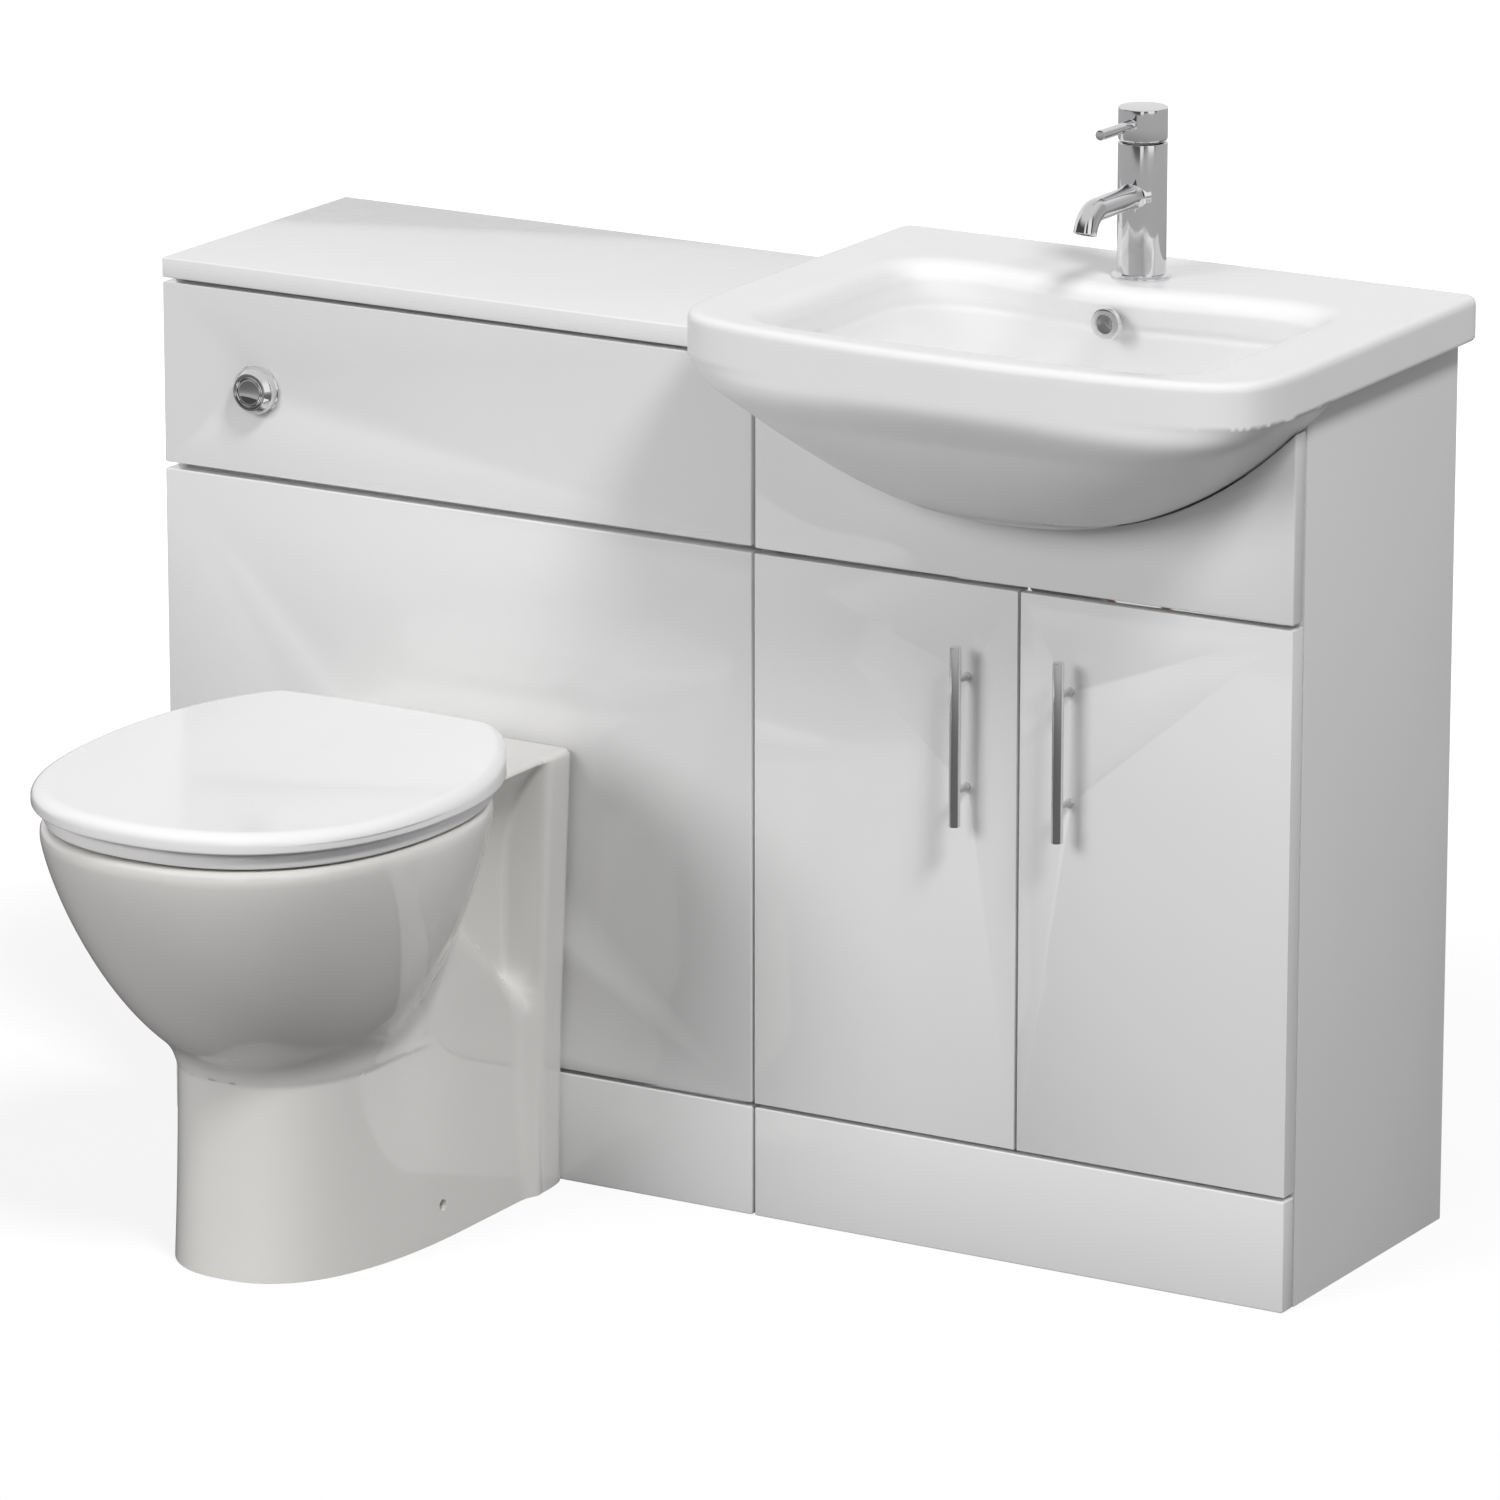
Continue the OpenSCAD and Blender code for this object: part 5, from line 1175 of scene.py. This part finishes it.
class UNIT_OT_waste(bpy.types.Operator):
    """Overflow ring, basin waste with its plug and nut, and the bottle trap"""
    bl_idname = "bathroom_unit.waste"
    bl_label = "Waste and trap"

    def turned(self, top=667.0):
        """Ring, waste and plug. The waste's flange ends at the given height."""
        form = Form(BASIN)
        ring = [(7.8, 144.2, 0.3), (8.2, 143.6, 0.4), (13.2, 144.2, 1.2), (14, 149.0, 0.4), (8.9, 149.4, 0.2),
                (8.9, 160, 0.2), (7.8, 160, 0.2)]
        form.lathe(rounded(ring), "y", (0, 0, OVERFLOW_Z), 96, closed=True)
        form.piece("overflow_ring_turned", "chrome", "root", ["overflow_ring"])
        form = Form(WASTE)
        flange = [(22.5, top - 14, 0.5), (20.9, top - 20, 0.5), (20.9, 602.2, 0.5), (16.2, 602.2, 0.3),
                  (16.2, top - 10, 0.5), (19, top - 1.6, 0.8), (25, top, 1), (30.5, top - 0.2, 1.2),
                  (32, top - 2.4, 0.5), (23, top - 3, 0.5)]
        form.lathe(rounded(flange, 4), "z", sides=96, closed=True)
        for k in range(6):
            arm = form.block((7.2, 18), (-1.6, 1.6), (top - 13.5, top - 9.5), 0.5)
            turn = Matrix.Rotation(math.pi * k / 3 + math.pi / 6, 3, "Z")
            bmesh.ops.rotate(form.shape, verts=arm, cent=(0, 0, 0), matrix=turn)
        hub = [(6.5, top - 13.8, 0.3), (8.4, top - 13.8, 0.3), (8.4, top - 9.2, 0.5), (6.5, top - 9.2, 0.3)]
        form.lathe(rounded(hub), "z", sides=48, closed=True)
        form.piece("basin_waste_turned", "chrome", "root", ["basin_waste"])
        form = Form(WASTE)
        plug = [(0, 663, 0), (6, 663, 0.6), (6, 675.2, 0), (29.5, 675.3, 0.4), (31, 676.6, 0.8),
                (30.2, 679.4, 2.2), (18, 681.0, 8), (0, 681.0, 0)]
        form.lathe(rounded(plug, 6), "z", sides=96)
        form.piece("waste_plug_turned", "chrome", "waste_plug", ["waste_plug"])

    def execute(self, context):
        self.turned()
        eased("waste_nut", context.scene.unit_fittings.moulded_edge, "grey_plastic")
        eased("bottle_trap", 0.0012, "white_plastic")
        nut_z, (trap_low, trap_high) = low("waste_nut").z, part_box("bottle_trap")
        ribbed = (("waste_nut", nut_z + 0.0045, "grey_plastic", 18, 0.0298, (0.0026, 0.004, 0.0085)),
                  ("trap_collar", trap_high.z - 0.012, "white_plastic", 26, 0.0278, (0.0022, 0.0028, 0.019)),
                  ("trap_base", trap_low.z + 0.0095, "white_plastic", 32, 0.0358, (0.0022, 0.0028, 0.014)))
        for name, z, look, count, radius, rib in ribbed:
            place = Vector((WASTE.x, WASTE.y, z))
            grown(name + "_ribs", "ribs", [place], look, Count=count, Radius=radius, Rib=rib)
        return {"FINISHED"}


class UNIT_OT_tap(bpy.types.Operator):
    """Mixer tap: body with spout, aerator, cartridge, lever, stud and tails"""
    bl_idname = "bathroom_unit.tap"
    bl_label = "Mixer tap"

    def body(self, top, bore=10.0, height=72, reach=80, bend=20):
        """Post and spout. Gives the spout's end and the way it faces."""
        form = Form(TAP)
        post = [(0, 0.1, 0), (25.2, 0.1, 0.3), (25.5, 2.2, 0.8), (21.6, 3.2, 0.6), (21, 4.4, 0.4),
                (21, top, 0.7), (16.4, top, 0.5), (15.2, top - 1.2, 0), (15.2, top - 20, 0), (0, top - 20, 0)]
        form.lathe(rounded(post), "z", sides=128)
        path = []
        for t in (k / 25 for k in range(26)):
            flare = 6.5 * (1 - min(1, t / 0.2)) ** 2.6
            path.append((Vector((0, -14 - (reach - 14) * t, height)), Vector((0, -1, 0)), bore + flare))
        for a in (math.radians(70) * k / 18 for k in range(1, 19)):
            path.append((Vector((0, -reach - bend * math.sin(a), height - bend + bend * math.cos(a))),
                         Vector((0, -math.cos(a), -math.sin(a))), bore))
        end, way, _ = path[-1]
        path += [(end + way * along, way, radius)
                 for along, radius in ((4.2, bore), (4.8, bore - 0.15), (5, bore - 0.7), (5, 8.5), (4.7, 8.1),
                                       (0.5, 8.1))]
        side = Vector((1, 0, 0))
        turns = [2 * math.pi * k / 64 for k in range(64)]
        form.loft([[place + (side * math.cos(t) + side.cross(forward) * math.sin(t)) * r for t in turns]
                   for place, forward, r in path])
        form.piece("tap_body_plated", "chrome", "root", ["tap_body"])
        return end, way

    def aerator(self, end, way):
        form = Form(TAP)
        turn = Vector((0, 0, 1)).rotation_difference(way).to_matrix().to_4x4()
        insert = [(0, 0.2, 0), (7.9, 0.2, 0), (7.9, 4.4, 0.3), (6.9, 4.4, 0.2), (6.7, 3.6, 0), (0, 3.6, 0)]
        form.lathe(rounded(insert), at=end, sides=64, sweep=turn)
        for r in (1.2, 2.6, 4.0, 5.4):
            form.lathe([(r, 3.4), (r + 0.5, 3.4), (r + 0.5, 4.1), (r, 4.1)], at=end, sides=48, sweep=turn,
                       closed=True)
        form.piece("tap_aerator_insert", "grey_plastic", "root", ["tap_aerator"])

    def lever(self, top, cap=146.0):
        """The cap over the cartridge, with the pin in its front that turns and lifts it."""
        form = Form(TAP)
        shell = [(0, top + 13, 0), (17.6, top + 13, 0.5), (17.8, top + 2.3, 0.3), (20.6, top + 2.2, 0.4),
                 (21, top + 3.2, 0.5), (21, cap, 0.8), (0, cap, 0)]
        form.lathe(rounded(shell), "z", sides=128)
        form.block((-4.6, 4.6), (8.8, 15.2), (top + 4.7, top + 14), 0.6)
        form.pin(3.2, -4.6, 4.6, (0.4, 0.4), "x", (0, 12, top + 4.7), 32)
        tilt = Matrix.Rotation(math.radians(1), 4, "X").inverted() @ AXES["-y"]
        handle = [(0, 16, 0), (5.6, 16, 0), (5.4, 20.4, 0), (4.6, 21.6, 0.7), (4.5, 24, 0), (4.5, 76, 0.7),
                  (0, 76, 0)]
        form.lathe(rounded(handle), at=(0, 0, cap - 13), sides=48, sweep=tilt)
        form.piece("tap_lever_plated", "chrome", "tap_lever", ["tap_lever"])

    def execute(self, context):
        top = 116.3
        self.aerator(*self.body(top))
        self.lever(top)
        for node, look in (("tap_cartridge", "white_plastic"), ("tap_stud", "brass"),
                           ("tap_tails", "copper")):
            eased(node, 0.0004, look)
        stud = Vector((TAP.x, TAP.y, low("tap_stud").z + 0.001))
        grown("tap_stud_thread", "threads", [stud], "brass", Turns=38, Pitch=0.00125, Radius=0.0037,
              Crest=0.0006)
        return {"FINISHED"}


class UNIT_OT_handles(bpy.types.Operator):
    """Bar handles of the doors"""
    bl_idname = "bathroom_unit.handles"
    bl_label = "Handles"

    def execute(self, context):
        ease = context.scene.unit_fittings.handle_edge / MM
        post = rounded([(0, 0.05, 0), (3.9, 0.05, 0), (3.9, 0.9, 0.4), (3.5, 1.6, 0.4), (3.5, 16.4, 0),
                        (4.0, 17.3, 0), (4.0, 19, 0), (0, 19, 0)], 4)
        for node in ("handle_left", "handle_right"):
            lo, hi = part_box(node)
            half = (hi.z - lo.z) / MM / 2
            form = Form(((lo.x + hi.x) / 2, FRONT_Y, (lo.z + hi.z) / 2))
            form.pin(5, -half, half, (ease, ease), "z", (0, -21, 0), 64, 4)
            for z in (-48, 48):
                form.lathe(post, "-y", (0, 0, z), 40)
            form.piece(node + "_bar", "chrome", BODY_OF[node], [node])
        return {"FINISHED"}


# heights in the frame: the hinges, the wall brackets, and the corner blocks that hold the panels
HINGES_Z, BRACKETS_Z, PLINTH_BLOCK_Z, PANEL_BLOCKS_Z = (0.1815, 0.509), 0.615, 0.04875, (0.1415, 0.479)


class UNIT_OT_hardware(bpy.types.Operator):
    """Concealed hinges, corner blocks, brackets and the screws that hold them"""
    bl_idname = "bathroom_unit.hardware"
    bl_label = "Hinges and fixings"

    def hinge_screws(self, side, outer, board, back, inward):
        """Two screws beside each hinge cup in the door's back, two in each plate on the board."""
        cups = [Vector((outer + inward * 0.0225, back + 0.0017, z + s * 0.022))
                for z in HINGES_Z for s in (-1, 1)]
        screws(f"hinge_cup_screws_{side}", cups, (0, 1, 0), f"door_{side}")
        plates = [Vector((board + inward * 0.0064, FRONT_Y + 0.062, z + s * 0.016))
                  for z in HINGES_Z for s in (-1, 1)]
        screws(f"hinge_plate_screws_{side}", plates, (inward, 0, 0), radius=0.0034)

    def bracket_screws(self, radius):
        """One screw of each bracket in the wall, one in the side panel."""
        wall_y = high("wall_brackets").y
        walls, sides = [], {1: [], -1: []}
        for node, inward in (("wc_side_left", 1), ("wc_side_right", -1), ("vanity_side_left", 1),
                             ("vanity_side_right", -1)):
            face = high(node).x if inward > 0 else low(node).x
            walls.append(Vector((face + inward * 0.018, wall_y - 0.0026, BRACKETS_Z)))
            sides[inward].append(Vector((face + inward * 0.0026, wall_y - 0.017, BRACKETS_Z)))
        screws("wall_screws", walls, (0, -1, 0), radius=radius, rise=0.0016)
        screws("bracket_screws_left", sides[1], (1, 0, 0))
        screws("bracket_screws_right", sides[-1], (-1, 0, 0))

    def block_screws(self):
        """One screw on the back of each corner block."""
        spots, back = [], high("fixing_blocks").y + 0.0006
        for unit, heights in (("wc", (PLINTH_BLOCK_Z, *PANEL_BLOCKS_Z, BUTTON.z)),
                              ("vanity", (PLINTH_BLOCK_Z,))):
            for x in (high(unit + "_side_left").x + 0.009, low(unit + "_side_right").x - 0.009):
                spots += [Vector((x, back, z)) for z in heights]
        screws("block_screws", spots, (0, 1, 0))

    def execute(self, context):
        for node in ("hinge_cups_left", "hinge_cups_right", "hinge_links_left", "hinge_links_right",
                     "hinge_arms", "wall_brackets", "pan_brackets", "pan_screws"):
            eased(node, 0.0003, "nickel_steel")
        eased("fixing_blocks", 0.0012, "white_plastic")
        left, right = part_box("door_left"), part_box("door_right")
        self.hinge_screws("left", left[0].x, high("vanity_side_left").x, left[1].y, 1)
        self.hinge_screws("right", right[1].x, low("vanity_side_right").x, right[1].y, -1)
        self.bracket_screws(context.scene.unit_fittings.screw_head)
        self.block_screws()
        return {"FINISHED"}


# Directions round the studio and how bright mirrors show them. A direction is a share of a turn, which
# starts on the left and goes by way of the front, the right and the back.
SURROUND = ((0.0, 0.85), (0.03, 0.85), (0.045, 0.07), (0.29, 0.07), (0.305, 0.9), (0.335, 0.9),
            (0.345, 0.06), (0.385, 0.05), (0.395, 0.95), (0.475, 0.95), (0.485, 0.02), (0.505, 0.02),
            (0.515, 0.35), (0.66, 0.4), (0.70, 0.8), (1.0, 0.85))
# the lamps: name, direction they shine from, width in degrees
LAMPS = (("key", (-0.43, -1.0, 0.47), 26), ("top", (0.55, -0.33, 0.77), 14))
LAMP_REACH = 6
# the camera's place in metres, and how far it is pitched down and turned to the left in degrees
CAMERA_PLACE, CAMERA_PITCH, CAMERA_TURN = (3.88106, -6.39254, 2.50529), 15.4641, 30.6631
FLOOR_HALF = 14.0


def grey(tone):
    return (tone, tone, tone, 1)


def surround_group():
    """Brightness of the studio in a direction from the unit, as its mirrors show it."""
    group, given, result = node_group("ShaderNodeTree", "Studio surround", [("Direction", VECTOR, None)],
                                      [("Colour", COLOUR)])
    unit = add(group, "ShaderNodeVectorMath", {0: given["Direction"]}, operation="NORMALIZE").outputs[0]
    parts = add(group, "ShaderNodeSeparateXYZ", {0: unit}).outputs
    turn = maths(group, "ARCTAN2", parts["Y"], parts["X"])
    ramp = add(group, "ShaderNodeValToRGB", {"Fac": carried(group, turn, -math.pi, math.pi)})
    stops = ramp.color_ramp.elements
    while len(stops) < len(SURROUND):
        stops.new(0.5)
    for stop, (place, tone) in zip(stops, SURROUND):
        stop.position, stop.color = place, grey(tone)
    steep = carried(group, maths(group, "ABSOLUTE", parts["Z"]), 0.4, 0.8, kind="SMOOTHSTEP")
    above = carried(group, parts["Z"], -0.1, 0.1, 0.16, 0.7)
    group.links.new(blend(group, steep, ramp.outputs["Color"], above), result["Colour"])
    return group


class UNIT_OT_stage(bpy.types.Operator):
    """Pale floor, two soft lamps, the surround that gloss mirrors, and the camera"""
    bl_idname = "bathroom_unit.stage"
    bl_label = "Studio"

    def floor(self):
        """A floor that shows its own glow to the camera and to mirrors, and its tone to the light."""
        mesh = bpy.data.meshes.new("floor")
        corners = [(x * FLOOR_HALF, y * FLOOR_HALF, 0) for x, y in ((-1, -1), (1, -1), (1, 1), (-1, 1))]
        mesh.from_pydata(corners, [], [(0, 1, 2, 3)])
        material = bpy.data.materials.new("studio_floor")
        material.use_nodes = True
        tree = material.node_tree
        shader = tree.nodes["Principled BSDF"].inputs
        shader["Roughness"].default_value = 0.9
        place = add(tree, "ShaderNodeTexCoord").outputs["Object"]
        looks = {"Place": place, "Tone": grey(0.22), "Second tone": grey(0.215), "Patch size": 2.0}
        tones = add(tree, "ShaderNodeGroup", looks, node_tree=PALETTE.group("drift"))
        seen = add(tree, "ShaderNodeLightPath").outputs
        reach = add(tree, "ShaderNodeVectorMath", {0: place}, operation="LENGTH").outputs["Value"]
        direct = carried(tree, reach, 0.9, 2.2, 0.78, 1.0, "SMOOTHSTEP")
        mirrored = blend(tree, carried(tree, reach, 1.0, 6.0, kind="SMOOTHSTEP"), grey(0.12), grey(0.4))
        glow = blend(tree, seen["Is Glossy Ray"], direct, mirrored)
        plain = blend(tree, seen["Is Glossy Ray"], tones.outputs[0], grey(0))
        tree.links.new(plain, shader["Base Color"])
        tree.links.new(glow, shader["Emission Color"])
        tree.links.new(maths(tree, "ADD", seen["Is Camera Ray"], seen["Is Glossy Ray"]),
                       shader["Emission Strength"])
        mesh.materials.append(material)
        floor = bpy.data.objects.new("floor", mesh)
        bpy.context.collection.objects.link(floor)

    def lamp(self, name, direction, spread, strength):
        """A lamp like a wide sun, which mirrors don't show."""
        light = bpy.data.lights.new(name, "SUN")
        light.angle, light.energy = math.radians(spread), strength
        lamp = bpy.data.objects.new(name, light)
        bpy.context.collection.objects.link(lamp)
        lamp.visible_glossy = False
        lamp.location = Vector(direction).normalized() * LAMP_REACH
        lamp.rotation_euler = Vector(direction).to_track_quat("Z", "Y").to_euler()

    def sky(self, strength):
        """White to the camera, the surround to mirrors, and even light to everything else."""
        world = bpy.data.worlds.new("studio")
        bpy.context.scene.world = world
        world.use_nodes = True
        tree = world.node_tree
        tree.nodes.clear()
        seen = add(tree, "ShaderNodeLightPath").outputs
        direction = add(tree, "ShaderNodeTexCoord").outputs["Generated"]
        surround = add(tree, "ShaderNodeGroup", {"Direction": direction}, node_tree=surround_group())
        lit, mirror, white = (
            add(tree, "ShaderNodeBackground", {"Color": colour, "Strength": value}).outputs[0]
            for colour, value in ((grey(1), strength), (surround.outputs[0], 1.0), (grey(1), 1.0)))
        soft = add(tree, "ShaderNodeMixShader", {0: seen["Is Glossy Ray"], 1: lit, 2: mirror}).outputs[0]
        plain = add(tree, "ShaderNodeMixShader", {0: seen["Is Camera Ray"], 1: soft, 2: white})
        out = add(tree, "ShaderNodeOutputWorld")
        tree.links.new(plain.outputs[0], out.inputs[0])

    def execute(self, context):
        looks = context.scene.unit_studio
        context.scene.view_settings.view_transform = "Standard"
        self.floor()
        self.sky(looks.world)
        for name, direction, spread in LAMPS:
            self.lamp(name + "_light", direction, spread, getattr(looks, name))
        camera = bpy.data.objects.new("camera", bpy.data.cameras.new("camera"))
        bpy.context.collection.objects.link(camera)
        camera.data.lens = looks.lens
        camera.data.sensor_width = 36.0
        camera.data.clip_end = 60.0
        camera.location = CAMERA_PLACE
        camera.rotation_euler = (math.radians(90 - CAMERA_PITCH), 0, math.radians(CAMERA_TURN))
        context.scene.camera = camera
        return {"FINISHED"}


STEPS = (UNIT_OT_boards, UNIT_OT_pan, UNIT_OT_seat, UNIT_OT_flush, UNIT_OT_basin, UNIT_OT_waste, UNIT_OT_tap,
         UNIT_OT_handles, UNIT_OT_hardware, UNIT_OT_stage)


class UNIT_PT_sidebar(bpy.types.Panel):
    """Lists the steps and sizes of the unit in the sidebar"""
    bl_idname = "UNIT_PT_sidebar"
    bl_label = "Toilet and basin unit"
    bl_space_type = "VIEW_3D"
    bl_region_type = "UI"
    bl_category = "Bathroom unit"

    def draw(self, context):
        for step in STEPS:
            self.layout.operator(step.bl_idname)
        for name, group in GROUPS.items():
            box = self.layout.box()
            for prop in group.__annotations__:
                box.prop(getattr(context.scene, name), prop)


CLASSES = (*GROUPS.values(), *STEPS, UNIT_PT_sidebar)


def register():
    for cls in CLASSES:
        bpy.utils.register_class(cls)
    for name, group in GROUPS.items():
        setattr(bpy.types.Scene, name, bpy.props.PointerProperty(type=group))


def unregister():
    for name in GROUPS:
        delattr(bpy.types.Scene, name)
    for cls in reversed(CLASSES):
        bpy.utils.unregister_class(cls)


def main():
    register()
    for step in STEPS:
        name = step.bl_idname.split(".")[1]
        getattr(bpy.ops.bathroom_unit, name)()


if __name__ == "__main__":
    main()
